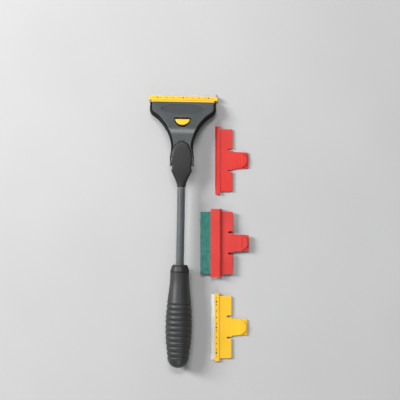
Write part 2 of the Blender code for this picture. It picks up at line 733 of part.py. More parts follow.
def steel_blade(name, parent):
    """The thin blade with its ground edge."""
    half = BLADE_THICK / 2
    edge = BLADE_EDGE_THICK / 2
    ground = BLADE_GROUND
    corners = ((-BLADE_HELD, -half), (BLADE_REACH - ground, -half), (BLADE_REACH, -edge),
               (BLADE_REACH, edge), (BLADE_REACH - ground, half), (-BLADE_HELD, half))
    profile = [on_blade(*corner) for corner in corners]
    return add(name, slab(profile, -BLADE_WIDTH / 2, BLADE_WIDTH / 2, across=True), steel, parent)


def plastic_holder(parent):
    """The stiff plastic scraper: plate and bevelled edge in one moulding."""
    edge_y, edge_z = PLASTIC_EDGE
    profile = [(BAR_REAR, PLASTIC_HEEL), PLASTIC_EDGE, (edge_y, edge_z + PLASTIC_EDGE_HIGH),
               (PLASTIC_FLAT, PLASTIC_TOP), (BAR_REAR, PLASTIC_TOP)]
    bar = slab(profile, -BAR_WIDTH / 2, BAR_WIDTH / 2, across=True)
    return add("plastic_blade", join(bar, holder_plate()), red_plastic, parent)


def sponge_holder(parent):
    """The thick holder whose top and back carry the scouring pad."""
    roof = PAD_TOP + GAP
    bottom = PAD_BOTTOM + PAD_OVER
    top = SPONGE_BAR_TOP
    slope_end, slope_start = SPONGE_BAR_SLOPE
    profile = [
        (SPONGE_BAR_REAR, bottom), (SPONGE_WALL, bottom), (SPONGE_WALL, roof), (SPONGE_BAR_REACH, roof),
        (SPONGE_BAR_REACH, top - SPONGE_BEVEL), (SPONGE_BAR_REACH - SPONGE_BEVEL, top), (slope_end, top),
        (SPONGE_BAR_REAR, slope_start)]
    half = SPONGE_BAR_WIDTH / 2
    bar = slab(profile, -half, half, across=True)
    return add("sponge_holder", join(bar, holder_plate()), pink_plastic, parent)


def scouring_pad(parent):
    """The stiff fibre pad under the holder's roof."""
    start = SPONGE_WALL + GAP
    corner = PAD_CORNER
    half = PAD_WIDTH / 2
    outline = [(-half, start), (half, start), (half, PAD_REACH - corner), (half - corner, PAD_REACH),
               (-half + corner, PAD_REACH), (-half, PAD_REACH - corner)]
    return add("scouring_pad", slab(outline, PAD_BOTTOM, PAD_TOP), green_pad, parent)


# ---------------------------------------------------------------- placing
def belly():
    """Return the place and radius of the grip's fattest crest, which touches the surface."""
    crests = [GROOVE_FIRST + (i + 0.5) * GROOVE_PITCH for i in range(GROOVE_COUNT - 1)]
    return max(((along, grip_radius(along)) for along in crests), key=lambda crest: crest[1])


def resting_pitch():
    """Return the angle that brings the grip's belly and the blade's edge to one level."""
    tool_y, tool_z = on_blade(BLADE_REACH, -BLADE_EDGE_THICK / 2)
    edge_y, edge_z = bent(HEAD_EDGE, 0)
    c, s = math.cos(HEAD_BEND), math.sin(HEAD_BEND)
    tip_y = PIVOT_Y + edge_y + tool_y * c + tool_z * s
    tip_z = edge_z - tool_y * s + tool_z * c
    belly_y, belly_radius = belly()
    return math.atan2(-belly_radius - tip_z, tip_y - belly_y)


def spare_frame(name, place, support):
    """Return a spare tool's frame: working edge towards the shaft, resting on two supports.

    `support` is the Y and Z of the front support, or None where the tool's own base is flat.
    """
    if support is None:
        tilt = 0.0
        drop = PAD_BOTTOM
    else:
        tail_y, tail_z = TONGUE_TAIL
        tilt = math.atan2(tail_z - support[1], support[0] - tail_y)
        drop = support[0] * math.sin(tilt) + support[1] * math.cos(tilt)
    turn = Matrix.Rotation(math.pi / 2 + SPARE_SLANT, 3, "Z") @ Matrix.Rotation(tilt, 3, "X")
    frame = empty(name, whole, (place[0], place[1], -drop), turn.to_euler())
    return frame


def stand_on_origin():
    """Move the whole layout so that the middle of its underside is at the world origin."""
    bpy.context.view_layer.update()
    corners = []
    for piece in parts.objects:
        if piece.type == "MESH":
            corners += [piece.matrix_world @ vertex.co for vertex in piece.data.vertices]
    low = [min(corner[axis] for corner in corners) for axis in range(3)]
    high = [max(corner[axis] for corner in corners) for axis in range(3)]
    whole.location = (-(low[0] + high[0]) / 2, -(low[1] + high[1]) / 2, -low[2])


clear_scene()
parts = new_collection(COLLECTION)
cutters = new_collection("cutters")

rubber = material("grip_rubber", (0.062, 0.064, 0.066), 0.62)
dark_plastic = material("dark_plastic", GREY_BODY, 0.42)
grey_face = material("grey_face", GREY_FACE, 0.40)
painted_tube = material("painted_tube", (0.100, 0.110, 0.115), 0.28, 0.35)
steel = material("blade_steel", (0.800, 0.800, 0.790), 0.25, 1.0)
yellow_plastic = material("yellow_plastic", YELLOW, 0.35)
red_plastic = material("red_plastic", RED, 0.38)
pink_plastic = material("sponge_holder_red", PINK_RED, 0.38)
green_pad = material("scouring_green", (0.045, 0.220, 0.165), 0.95)

whole = empty("layout")
pitch = resting_pitch()
belly_drop = belly()[0] * math.sin(pitch) - belly()[1] * math.cos(pitch)
scraper = empty("scraper", whole, (0, 0, -belly_drop), (pitch, 0, 0))
grip_sleeve(scraper)
grip_core(scraper)
shaft_tube(scraper)
neck_knuckle(scraper)

head_pivot = empty("head_pivot", scraper, (0, PIVOT_Y, 0))
pivot_pin(head_pivot)
head_body(head_pivot)
head_cover(head_pivot)
window_frame(head_pivot)

seat_y, seat_z = bent(HEAD_EDGE, 0)
tool_seat = empty("tool_seat", head_pivot, (0, seat_y, seat_z), (-HEAD_BEND, 0, 0))
spare_seat = spare_frame("spare_seat", SPARE_AT, on_blade(BLADE_REACH, -BLADE_EDGE_THICK / 2))
for prefix, seat in (("", tool_seat), ("spare_", spare_seat)):
    blade_holder(prefix + "blade_holder", yellow_plastic, seat)
    clamp_strip(prefix + "clamp_strip", yellow_plastic, seat)
    steel_blade(prefix + "steel_blade", seat)
    latch_tongue(prefix + "blade_latch", yellow_plastic, seat)

plastic_seat = spare_frame("plastic_seat", PLASTIC_AT, PLASTIC_EDGE)
plastic_holder(plastic_seat)
latch_tongue("plastic_latch", red_plastic, plastic_seat)

sponge_seat = spare_frame("sponge_seat", SPONGE_AT, None)
sponge_holder(sponge_seat)
scouring_pad(sponge_seat)
latch_tongue("sponge_latch", pink_plastic, sponge_seat)

stand_on_origin()
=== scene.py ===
"""Looks of the algae scraper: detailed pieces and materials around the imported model.

Metres, +Z up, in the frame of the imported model.  Every piece is drawn in the frame of its own
group (scraper, head or tool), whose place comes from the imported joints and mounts.  The scraper's
group has its origin at the butt, the head's at the tilt pin, and a tool's at the middle of the
head's front edge; Y runs towards the working edge in all three.
"""

import json
import math
import random

import bmesh
import bpy
from mathutils import Matrix, Vector, noise


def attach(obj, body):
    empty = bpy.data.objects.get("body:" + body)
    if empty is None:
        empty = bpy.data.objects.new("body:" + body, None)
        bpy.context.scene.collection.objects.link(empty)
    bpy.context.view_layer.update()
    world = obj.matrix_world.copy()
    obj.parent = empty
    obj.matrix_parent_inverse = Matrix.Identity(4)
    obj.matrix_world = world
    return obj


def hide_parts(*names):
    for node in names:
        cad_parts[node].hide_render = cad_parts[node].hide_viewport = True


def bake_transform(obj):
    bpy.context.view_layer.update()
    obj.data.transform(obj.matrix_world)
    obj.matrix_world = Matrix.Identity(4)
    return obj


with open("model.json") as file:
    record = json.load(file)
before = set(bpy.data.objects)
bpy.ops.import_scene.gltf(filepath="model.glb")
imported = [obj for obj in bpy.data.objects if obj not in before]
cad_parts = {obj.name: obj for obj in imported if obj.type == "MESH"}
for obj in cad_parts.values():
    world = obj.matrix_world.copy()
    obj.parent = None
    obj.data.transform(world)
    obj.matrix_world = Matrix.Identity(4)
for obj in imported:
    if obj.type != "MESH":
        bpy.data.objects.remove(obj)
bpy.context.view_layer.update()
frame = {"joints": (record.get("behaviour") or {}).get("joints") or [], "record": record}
JOINTS = {joint["name"]: joint for joint in frame["joints"]}
MOUNTS = {mount["name"]: mount for mount in frame["record"]["mounts"]}

# ---------------------------------------------------------------- sizes
# Handle, along the shaft from the butt
GRIP_LENGTH = 0.1174
GRIP_RADII = (                  # (place, radius over the crests)
    (0.0000, 0.0040), (0.0010, 0.0064), (0.0023, 0.0085), (0.0048, 0.0108), (0.0097, 0.0129),
    (0.0180, 0.0140), (0.0300, 0.0155), (0.0423, 0.0163), (0.0520, 0.0164), (0.0614, 0.0162),
    (0.0752, 0.0152), (0.0860, 0.0140), (0.0957, 0.0128), (0.1055, 0.0118), (0.1174, 0.0115))
GROOVE_FIRST = 0.0139
GROOVE_PITCH = 0.00647
GROOVE_COUNT = 11
GROOVE_DEPTH = 0.0011
SHOULDER = 0.0020
COLLAR = (                      # (place, radius) from the sleeve's end to the tube
    (0.1177, 0.0088), (0.1177, 0.0114), (0.1179, 0.0116), (0.1193, 0.0116), (0.1197, 0.0115), (0.1203, 0.0112),
    (0.1225, 0.0106), (0.1246, 0.0099), (0.1256, 0.0093), (0.1261, 0.0086), (0.1262, 0.0078), (0.1261, 0.0060),
    (0.1256, 0.0052), (0.1180, 0.0052))
TUBE_RADIUS = 0.0049
TUBE_INSIDE = 0.0039
TUBE_SPAN = (0.1180, 0.2208)
TUBE_BEAD = 0.00012
NECK = (                        # (place, half width) from the socket's mouth to the waist
    (0.2211, 0.0052), (0.2222, 0.00525), (0.2259, 0.0060), (0.2296, 0.0073), (0.2333, 0.0089),
    (0.2378, 0.0110), (0.2410, 0.0124), (0.2426, 0.0126), (0.2434, 0.0123), (0.2450, 0.0118),
    (0.2494, 0.0118), (0.2524, 0.0122), (0.2554, 0.0126))
PIVOT_Y = 0.2554
LUG_LENGTH = 0.0224
LUG_PROUD = 0.0020
LUG_ROUND = 0.0020
LUG_CROWN = 0.0004
WAIST_Y = 0.2494
SKIRT_HALVES = (0.0129, 0.0134)             # of the lug's lower part, in front and behind
SKIRT_LENGTH = 0.0230
SKIRT_STEP = 0.0052
SKIRT_HEIGHTS = (-0.0020, 0.0022)
PIN_RADIUS = 0.0024
PIN_PLAY = 0.0002
PIN_CHAMFER = 0.0004

# Head, drawn flat along S from the pivot and then bent
BEND_RADIUS = 0.020
BEND_Y = 0.0346
HEAD_REACH = 0.0701
HEAD_FRONT = 0.0036
HEAD_BACK = -0.0056
HEAD_ROUND = 0.0020
EAR_BACK = 0.0087
EAR_HALF = 0.0146
WAIST_HALF = 0.0134
FORK_BACK_HALF = 0.0137
FORK_HALF = 0.0132
FORK_LENGTH = 0.0235
FORK_STEP = 0.0030
HEAD_HALF = 0.0407
HEAD_FLANK = (0.0299, 0.0508)
HEAD_SHOULDER_Y = 0.0635
WAIST_FROM_PIVOT = 0.0150
SLOT_HALF = 0.0390
SLOT_DEPTH = 0.0128
SLOT_HALF_HEIGHT = 0.0014
CHANNEL_HALF = 0.0128
CHANNEL_DEPTH = 0.0328
CHANNEL_START = 0.0062
CHANNEL_FLOOR = -0.0042
COVER_BORDER = 0.0026
COVER_FLARE = 0.0005
SEAM = 0.0003
PAST_EDGE = 0.002               # how far a cutter reaches beyond the surface that it opens
THINNING = 0.45
THIN_FROM = 0.0270
WINDOW_WIDTH = 0.0206
WINDOW_FROM = 0.0213
WINDOW_DEPTH = 0.0131
FRAME_LOW = 0.0008
FRAME_CLEAR = 0.0004
OVAL_SIZE = (0.0525, 0.0141)
OVAL_FROM_EDGE = 0.0097
OVAL_DEPTH = 0.0008

# Tools: Y outwards from the head's edge, Z up from the slot's middle plane
PLATE_HALF = 0.03865
PLATE_DEPTH = 0.0124
PLATE_TOP = 0.0011
NOTCH_OUTER = 0.01435
NOTCH_INNER = 0.0120
NOTCH_FLOOR = 0.0065
TONGUE_END = 0.0321
TONGUE_BOTTOM = -0.0007
TONGUE_ROOT = 0.0068
TONGUE_MIDDLE = 0.0106
TONGUE_STEP = 0.0016
TONGUE_TIP = 0.0098
TONGUE_THINNING = 0.0030
PLATE_CORNER = 0.0018
TIP_CORNER = 0.0016
BUTTON_WIDTH = 0.0178
BUTTON_FROM = 0.0232
BUTTON_DEPTH = 0.0079
BUTTON_TOP = 0.0031
BUTTON_STEP_HALF = 0.0072
BUTTON_STEP_DEPTH = 0.0026
BAR_HALF = 0.0422
BAR_REAR = 0.0029
BAR_TOP = 0.0020
BAR_BOTTOM = -0.0017
BAR_SHOULDER = (0.0082, 0.0015)
BAR_NOSE = (0.0088, 0.0009)
BLADE_HALF_WIDTH = 0.0407
BLADE_THICK = 0.0006
BLADE_EDGE_THICK = 0.00012
BLADE_SLOPE = math.radians(-20)
BLADE_EXIT = (0.0083, -0.0006)
BLADE_REACH = 0.0055
BLADE_HELD = 0.0032
BLADE_GROUND = 0.0012
BLADE_GAP = 0.0003
CLAMP_HALF = 0.0412
CLAMP_THICK = 0.0010
PIP_AT = 0.0064
PIP_OFFSETS = (0.0, 0.0043, 0.0123, 0.0202, 0.0281, 0.0318)
PIP_LARGE = (0.0, 0.0318)
PIP_FAINT = 0.0365
PIP_RADII = (0.00105, 0.00075, 0.00055)     # of the large, the common and the faint dimples
DIMPLE_FLOOR = 0.0010
DIMPLE_CUTTER = 0.0024
DIMPLE_REACH = 0.0013
PLASTIC_TOP = 0.0020
PLASTIC_FLAT = 0.0060
PLASTIC_EDGE = (0.00905, -0.0024)
SPONGE_BAR_HALF = 0.0421
SPONGE_BAR_REAR = 0.0014
SPONGE_BAR_REACH = 0.0151
SPONGE_BAR_TOP = 0.0048
SPONGE_SLOPE = (0.0038, 0.0026)
SPONGE_WALL = 0.0058
PAD_HALF = 0.0387
PAD_START = 0.0061
PAD_REACH = 0.0280
PAD_TOP = 0.0018
PAD_BOTTOM = -0.0056
PAD_CELL = 0.0008
PAD_STRANDS = 3200
STRAND_STEPS = 5

# Camera
VIEW_WIDTH = 0.4929
VIEW_CENTRE = (0.0017, 0.0376)
VIEW_ROLL = 0.019
VIEW_HEIGHT = 1.4
VIEW_SUBJECT = 0.012
SENSOR = 36.0


# ---------------------------------------------------------------- frames of the groups
def placed(origin, across, along):
    """Return the matrix of a group from its origin, its X direction and its Y direction."""
    x = Vector(across).normalized()
    y = Vector(along).normalized()
    z = x.cross(y).normalized()
    matrix = Matrix((x, y, z)).transposed().to_4x4()
    matrix.translation = Vector(origin)
    return matrix


def tool_matrix(latch, across, along):
    """Return a tool's frame from its latch joint, which lies at the tongue's root."""
    matrix = placed((0, 0, 0), across, along)
    middle = (PLATE_TOP + TONGUE_BOTTOM) / 2
    offset = matrix.to_3x3() @ Vector((0, -TONGUE_ROOT, middle))
    matrix.translation = Vector(JOINTS[latch]["pos_m"]) - offset
    return matrix


def spare_matrix(latch, tilt):
    """Return the frame of a spare tool, which points its working edge towards the shaft."""
    across = Vector(JOINTS[latch]["axis"])
    level = Vector((-across.y, across.x, 0))
    return tool_matrix(latch, across, level * math.cos(tilt) + Vector((0, 0, math.sin(tilt))))


def resting_tilt(front):
    """Return how far a spare tool leans when its front support and its tail touch the surface."""
    front_y, front_z = front
    return math.atan2(TONGUE_BOTTOM - front_z, front_y + TONGUE_END)


SHAFT_AXIS = -Vector(MOUNTS["butt_face"]["axis"])
SCRAPER = placed(MOUNTS["butt_face"]["pos_m"], (1, 0, 0), SHAFT_AXIS)
HEAD = placed(JOINTS["head_tilt"]["pos_m"], (1, 0, 0), SHAFT_AXIS)
SLIDE_AXIS = Vector(JOINTS["tool_slide"]["axis"])
HEAD_BEND = SHAFT_AXIS.angle(SLIDE_AXIS)
FITTED = tool_matrix("blade_latch_press", (1, 0, 0), SLIDE_AXIS)


# ---------------------------------------------------------------- outlines
def inset(outline, distance):
    """Move each side of a closed outline inwards, with mitred corners."""
    if not distance:
        return list(outline)
    count = len(outline)
    area = sum(outline[i][0] * outline[(i + 1) % count][1] - outline[(i + 1) % count][0] * outline[i][1]
               for i in range(count))
    inward = distance if area > 0 else -distance
    moved = []
    for i in range(count):
        here = Vector(outline[i])
        before = (here - Vector(outline[i - 1])).normalized()
        after = (Vector(outline[(i + 1) % count]) - here).normalized()
        normal_a = Vector((-before.y, before.x))
        normal_b = Vector((-after.y, after.x))
        corner = (normal_a + normal_b) / (1 + normal_a.dot(normal_b))
        moved.append(tuple(here + corner * inward))
    return moved


def bezier(start, first, second, end, steps):
    """Return points along a cubic, without its start."""
    points = []
    for i in range(1, steps + 1):
        t = i / steps
        weights = ((1 - t) ** 3, 3 * t * (1 - t) ** 2, 3 * t * t * (1 - t), t ** 3)
        points.append(tuple(sum(w * p[axis] for w, p in zip(weights, (start, first, second, end)))
                            for axis in (0, 1)))
    return points


def arc(centre, radii, start, end, steps):
    """Return points along an elliptical arc, both ends included; angles are in degrees."""
    angles = [math.radians(start + (end - start) * i / steps) for i in range(steps + 1)]
    return [(centre[0] + radii[0] * math.cos(a), centre[1] + radii[1] * math.sin(a)) for a in angles]


def mirrored(half):
    """Close a right-hand half outline with its mirror image."""
    return half + [(-x, y) for x, y in reversed(half)]


def head_outline():
    """Return the flat outline of the head: ears, waist, flare and straight sides."""
    ear = (EAR_HALF, 0.0010)
    waist = (WAIST_HALF, WAIST_FROM_PIVOT)
    shoulder = (HEAD_HALF, HEAD_SHOULDER_Y)
    half = [(EAR_HALF, -EAR_BACK), ear]
    half += bezier(ear, (EAR_HALF, 0.0065), (0.0131, 0.0095), waist, 12)
    half += bezier(waist, (0.0134, 0.0250), (0.0206, 0.0412), HEAD_FLANK, 20)
    half += bezier(HEAD_FLANK, (0.0345, 0.0554), (HEAD_HALF, 0.0575), shoulder, 16)
    half.append((HEAD_HALF, HEAD_EDGE))
    return mirrored(half)


def d_outline(width, flat_at, depth):
    """Return a D with its flat side towards the blade and its round side towards the handle."""
    return arc((0, flat_at), (width / 2, depth), 180, 360, 40)


def fork_outline():
    """Return the space that the head leaves for the lug: straight sides and an oval end."""
    back = -EAR_BACK - PAST_EDGE
    left = [(-FORK_BACK_HALF, -FORK_STEP), (-FORK_BACK_HALF, back)]
    right = [(FORK_BACK_HALF, back), (FORK_BACK_HALF, -FORK_STEP)]
    return left + right + arc((0, 0), (FORK_HALF, FORK_LENGTH), 0, 180, 60)


def window_outline(shrink):
    """Return the window's D, smaller by the given margin on every side."""
    return d_outline(WINDOW_WIDTH - 2 * shrink, HEAD_EDGE - WINDOW_FROM - shrink, WINDOW_DEPTH - 2 * shrink)


# ---------------------------------------------------------------- solids
def mesh_from(work, name):
    """Turn a bmesh into a mesh with its faces outwards."""
    bmesh.ops.recalc_face_normals(work, faces=work.faces)
    mesh = bpy.data.meshes.new(name)
    work.to_mesh(mesh)
    work.free()
    return mesh


def stack(rings, name="stack"):
    """Join rings of equal count into a closed body; a ring is a list of places."""
    work = bmesh.new()
    loops = [[work.verts.new(place) for place in ring] for ring in rings]
    count = len(loops[0])
    for lower, upper in zip(loops, loops[1:]):
        for i in range(count):
            j = (i + 1) % count
            work.faces.new((lower[i], lower[j], upper[j], upper[i]))
    work.faces.new(loops[0])
    work.faces.new(loops[-1])
    return mesh_from(work, name)


def rounded_levels(low, high, below, above, steps=4):
    """Return (height, inset) pairs of a plate whose two rims are rounded by the given radii."""
    angles = [math.pi / 2 * i / steps for i in range(steps + 1)]
    bottom = {(low + below * (1 - math.sin(a)), below * (1 - math.cos(a))) for a in angles}
    top = {(high - above * (1 - math.sin(a)), above * (1 - math.cos(a))) for a in angles}
    return sorted(bottom) + sorted(top)


def plate(outline, low, high, below=0.0, above=0.0, steps=4):
    """Return a plate with the outline as its plan and rounded rims."""
    if below or above:
        levels = rounded_levels(low, high, max(below, 1e-6), max(above, 1e-6), steps)
    else:
        levels = [(low, 0.0), (high, 0.0)]
    return stack([[(x, y, z) for x, y in inset(outline, d)] for z, d in levels])


def flared(outline, floor, face, flare):
    """Return a cutter that opens a pocket from `floor` to the face, widened by `flare` at the face."""
    levels = [(floor, 0.0), (face - flare, 0.0), (face - 0.3 * flare, -0.3 * flare), (face, -flare),
              (face + 0.004, -flare - 0.002)]
    return stack([[(x, y, z) for x, y in inset(outline, d)] for z, d in levels])


def extruded(profile, half, rounding=0.0004, steps=3):
    """Return a side profile in Y and Z swept along X, with its two ends rounded."""
    levels = rounded_levels(-half, half, rounding, rounding, steps)
    return stack([[(x, y, z) for y, z in inset(profile, d)] for x, d in levels])


def softened(profile, radius, steps=3):
    """Round the corners of a closed profile."""
    count = len(profile)
    points = []
    for i in range(count):
        here = Vector(profile[i])
        before = Vector(profile[i - 1]) - here
        after = Vector(profile[(i + 1) % count]) - here
        reach = min(radius, before.length * 0.45, after.length * 0.45)
        start = here + before.normalized() * reach
        end = here + after.normalized() * reach
        for k in range(steps + 1):
            t = k / steps
            points.append(tuple(start * (1 - t) ** 2 + here * 2 * t * (1 - t) + end * t * t))
    return points


def revolved(profile, sides, name="turned", groove=None):
    """Return a body turned about Y from (place, radius) points in order, both ends capped.

    `groove` gives each place a value from 0 to 1 that the material reads.
    """
    rings = []
    for place, radius in profile:
        rings.append([(radius * math.cos(2 * math.pi * i / sides), place,
                       radius * math.sin(2 * math.pi * i / sides)) for i in range(sides)])
    mesh = stack(rings, name)
    if groove:
        depth = mesh.attributes.new("groove", "FLOAT", "POINT")
        for vertex in mesh.vertices:
            depth.data[vertex.index].value = groove(vertex.co.y)
    return mesh


def cylinder(radius, length, centre, sides, upright=False):
    """Return a closed cylinder along X, or along Z when upright, about its centre."""
    work = bmesh.new()
    bmesh.ops.create_cone(work, cap_ends=True, segments=sides, radius1=radius, radius2=radius,
                          depth=length)
    turn = Matrix.Identity(4) if upright else Matrix.Rotation(math.pi / 2, 4, "Y")
    bmesh.ops.transform(work, matrix=Matrix.Translation(centre) @ turn, verts=work.verts)
    return mesh_from(work, "cylinder")


def box(low, high):
    """Return a closed box between two corners."""
    size = Vector(high) - Vector(low)
    work = bmesh.new()
    bmesh.ops.create_cube(work, size=1.0)
    placing = Matrix.Translation((Vector(high) + Vector(low)) / 2) @ Matrix.Diagonal((*size, 1.0))
    bmesh.ops.transform(work, matrix=placing, verts=work.verts)
    return mesh_from(work, "box")


def combined(body, others, operation):
    """Join meshes to a body, or cut them from it, with exact Booleans."""
    base = bpy.data.objects.new("body", body)
    bpy.context.scene.collection.objects.link(base)
    helpers = []
    for other in others:
        helper = bpy.data.objects.new("helper", other)
        bpy.context.scene.collection.objects.link(helper)
        step = base.modifiers.new(operation.lower(), "BOOLEAN")
        step.operation = operation
        step.solver = "EXACT"
        step.object = helper
        helpers.append(helper)
    bpy.context.view_layer.update()
    mesh = bpy.data.meshes.new_from_object(base.evaluated_get(bpy.context.evaluated_depsgraph_get()))
    for helper in helpers + [base]:
        bpy.data.objects.remove(helper, do_unlink=True)
    work = bmesh.new()
    work.from_mesh(mesh)
    bmesh.ops.remove_doubles(work, verts=work.verts, dist=1e-6)
    return mesh_from(work, "combined")


def cut(body, *others):
    """Cut every other mesh from the body."""
    return combined(body, others, "DIFFERENCE")


def join(body, *others):
    """Join every other mesh to the body."""
    return combined(body, others, "UNION")


def slice_faces(work, places, axis):
    """Cut a bmesh's faces by planes across an axis."""
    normal = [0, 0, 0]
    normal[axis] = 1
    for at in places:
        point = [0, 0, 0]
        point[axis] = at
        geometry = work.verts[:] + work.edges[:] + work.faces[:]
        bmesh.ops.bisect_plane(work, geom=geometry, dist=1e-7, plane_co=point, plane_no=normal)


def sliced(mesh, places, axis):
    """Return a mesh with its faces cut by planes, so that it can bend and shade smoothly."""
    work = bmesh.new()
    work.from_mesh(mesh)
    slice_faces(work, places, axis)
    return mesh_from(work, mesh.name)


def spread(low, high, step):
    """Return evenly spaced places between two limits."""
    count = max(1, round((high - low) / step))
    return [low + (high - low) * i / count for i in range(count + 1)]


# ---------------------------------------------------------------- the head's bend
BEND_TANGENT = BEND_RADIUS * math.tan(HEAD_BEND / 2)
BEND_START = BEND_Y - BEND_TANGENT
BEND_END = BEND_START + BEND_RADIUS * HEAD_BEND
HEAD_EDGE = BEND_END + (HEAD_REACH - BEND_Y) / math.cos(HEAD_BEND) - BEND_TANGENT
PLATE_MIDDLE = (HEAD_FRONT + HEAD_BACK) / 2


def bent(along, above):
    """Return the Y and Z from the pivot of a place on the bent plate."""
    angle = HEAD_BEND * min(max((along - BEND_START) / (BEND_END - BEND_START), 0.0), 1.0)
    on_arc = min(along, BEND_START) + BEND_RADIUS * math.sin(angle)
    drop = BEND_RADIUS * (1 - math.cos(angle))
    beyond = max(along - BEND_END, 0.0)
    y = on_arc + beyond * math.cos(angle) + above * math.sin(angle)
    z = -drop - beyond * math.sin(angle) + above * math.cos(angle) - PLATE_MIDDLE
    return y, z


def bend_plate(mesh):
    """Thin the flat head towards the blade edge and bend it."""
    places = spread(BEND_START, BEND_END, 0.0006) + spread(BEND_END, HEAD_EDGE - 0.001, 0.004)
    mesh = sliced(mesh, places, 1)
    mesh = sliced(mesh, spread(-HEAD_HALF + 0.004, HEAD_HALF - 0.004, 0.004), 0)
    thin_start = HEAD_EDGE - THIN_FROM
    for vertex in mesh.vertices:
        across, along, above = vertex.co
        if above < -SLOT_HALF_HEIGHT:
            thin = THINNING * max(along - thin_start, 0.0) / THIN_FROM
            above = -SLOT_HALF_HEIGHT + (above + SLOT_HALF_HEIGHT) * (1 - thin)
        y, z = bent(along, above)
        vertex.co = (across, y, z)
    return mesh


# ---------------------------------------------------------------- materials
class Nodes:
    """A short way to build a material's node tree."""

    def __init__(self, name):
        self.material = bpy.data.materials.new(name)
        self.material.use_nodes = True
        self.tree = self.material.node_tree
        self.shader = self.tree.nodes["Principled BSDF"]
        self.coordinates = self.add("ShaderNodeTexCoord").outputs["Object"]

    def add(self, kind):
        """Add a node."""
        return self.tree.nodes.new(kind)

    def link(self, source, target):
        """Link an output to an input."""
        self.tree.links.new(source, target)

    def stretched(self, scale):
        """Return the object coordinates scaled by axis."""
        node = self.add("ShaderNodeMapping")
        node.inputs["Scale"].default_value = scale
        self.link(self.coordinates, node.inputs["Vector"])
        return node.outputs["Vector"]

    def noise(self, scale, detail=3.0, roughness=0.55, vector=None):
        """Return a noise value at so many features a metre."""
        node = self.add("ShaderNodeTexNoise")
        node.inputs["Scale"].default_value = scale
        node.inputs["Detail"].default_value = detail
        node.inputs["Roughness"].default_value = roughness
        self.link(vector or self.coordinates, node.inputs["Vector"])
        return node.outputs["Fac"]

    def ramp(self, source, low, high, out_low, out_high):
        """Map a value's range to another range, clamped."""
        node = self.add("ShaderNodeMapRange")
        for key, value in (("From Min", low), ("From Max", high), ("To Min", out_low), ("To Max", out_high)):
            node.inputs[key].default_value = value
        self.link(source, node.inputs["Value"])
        return node.outputs["Result"]

    def mixed(self, factor, first, second):
        """Mix two colours, each a tuple or an output."""
        node = self.add("ShaderNodeMix")
        node.data_type = "RGBA"
        self.link(factor, node.inputs["Factor"])
        for name, value in (("A", first), ("B", second)):
            socket = [s for s in node.inputs if s.name == name and s.type == "RGBA"][0]
            if isinstance(value, tuple):
                socket.default_value = (*value, 1.0)
            else:
                self.link(value, socket)
        return [s for s in node.outputs if s.type == "RGBA"][0]

    def math(self, operation, first, second):
        """Combine two values, each a number or an output."""
        node = self.add("ShaderNodeMath")
        node.operation = operation
        for socket, value in zip(node.inputs, (first, second)):
            if isinstance(value, (int, float)):
                socket.default_value = value
            else:
                self.link(value, socket)
        return node.outputs[0]

    def bump(self, height, distance, strength=1.0, normal=None):
        """Return a bumped normal from a height in units of `distance` metres."""
        node = self.add("ShaderNodeBump")
        node.inputs["Strength"].default_value = strength
        node.inputs["Distance"].default_value = distance
        self.link(height, node.inputs["Height"])
        if normal:
            self.link(normal, node.inputs["Normal"])
        return node.outputs["Normal"]

    def attribute(self, name):
        """Return a float attribute of the mesh."""
        node = self.add("ShaderNodeAttribute")
        node.attribute_name = name
        return node.outputs["Fac"]

    def finish(self, colour, roughness, normal, **sockets):
        """Connect the shader, set its other sockets by name and return the material."""
        self.link(colour, self.shader.inputs["Base Color"])
        self.link(roughness, self.shader.inputs["Roughness"])
        self.link(normal, self.shader.inputs["Normal"])
        for key, value in sockets.items():
            self.shader.inputs[key.replace("_", " ")].default_value = value
        return self.material


def scaled(colour, factor):
    """Return a colour made lighter or darker."""
    return tuple(min(1.0, channel * factor) for channel in colour)


def moulded(name, colour, roughness, grain=0.00003, coat=0.0, drift=0.08, painted_recess_shade=0.0, specular=0.5):
    """Injection-moulded plastic: fine spark grain, flow clouds, faint scuffs and rubbed places.

    `grain` is the height of the spark grain in metres and `drift` how far the clouds change the
    colour.  With `painted_recess_shade` the recessed places that the mesh marks are darkened to that share of the
    colour, as painted shade.
    """
    n = Nodes(name)
    clouds = n.noise(45, 4.0)
    specks = n.noise(900, 2.0)
    tone = n.ramp(n.math("ADD", clouds, n.math("MULTIPLY", specks, 0.35)), 0.45, 0.95, 0.0, 1.0)
    base = n.mixed(tone, scaled(colour, 1 - drift), scaled(colour, 1 + drift))
    scuffs = n.noise(320, 6.0, 0.7, n.stretched((1.0, 0.16, 1.0)))
    rubbed = n.ramp(scuffs, 0.60, 0.78, 0.0, 0.12)
    colour_out = n.mixed(rubbed, base, scaled(colour, 1.6))
    # Painted shade: recessed places that the mesh marks are darkened.
    if painted_recess_shade:
        colour_out = n.mixed(n.ramp(n.attribute("painted_recess_shade"), 0.2, 0.8, 0.0, 1.0), colour_out, scaled(colour, painted_recess_shade))
    rough = n.math("ADD", n.ramp(clouds, 0.3, 0.7, roughness - 0.05, roughness + 0.06), rubbed)
    fine = n.noise(2600, 2.0)
    waves = n.noise(110, 1.0)
    normal = n.bump(waves, 0.00008, 0.3)
    normal = n.bump(fine, grain, 0.6, normal)
    normal = n.bump(scuffs, 0.00002, 0.5, normal)
    return n.finish(colour_out, rough, normal, Coat_Weight=coat, Coat_Roughness=0.2, Specular_IOR_Level=specular)


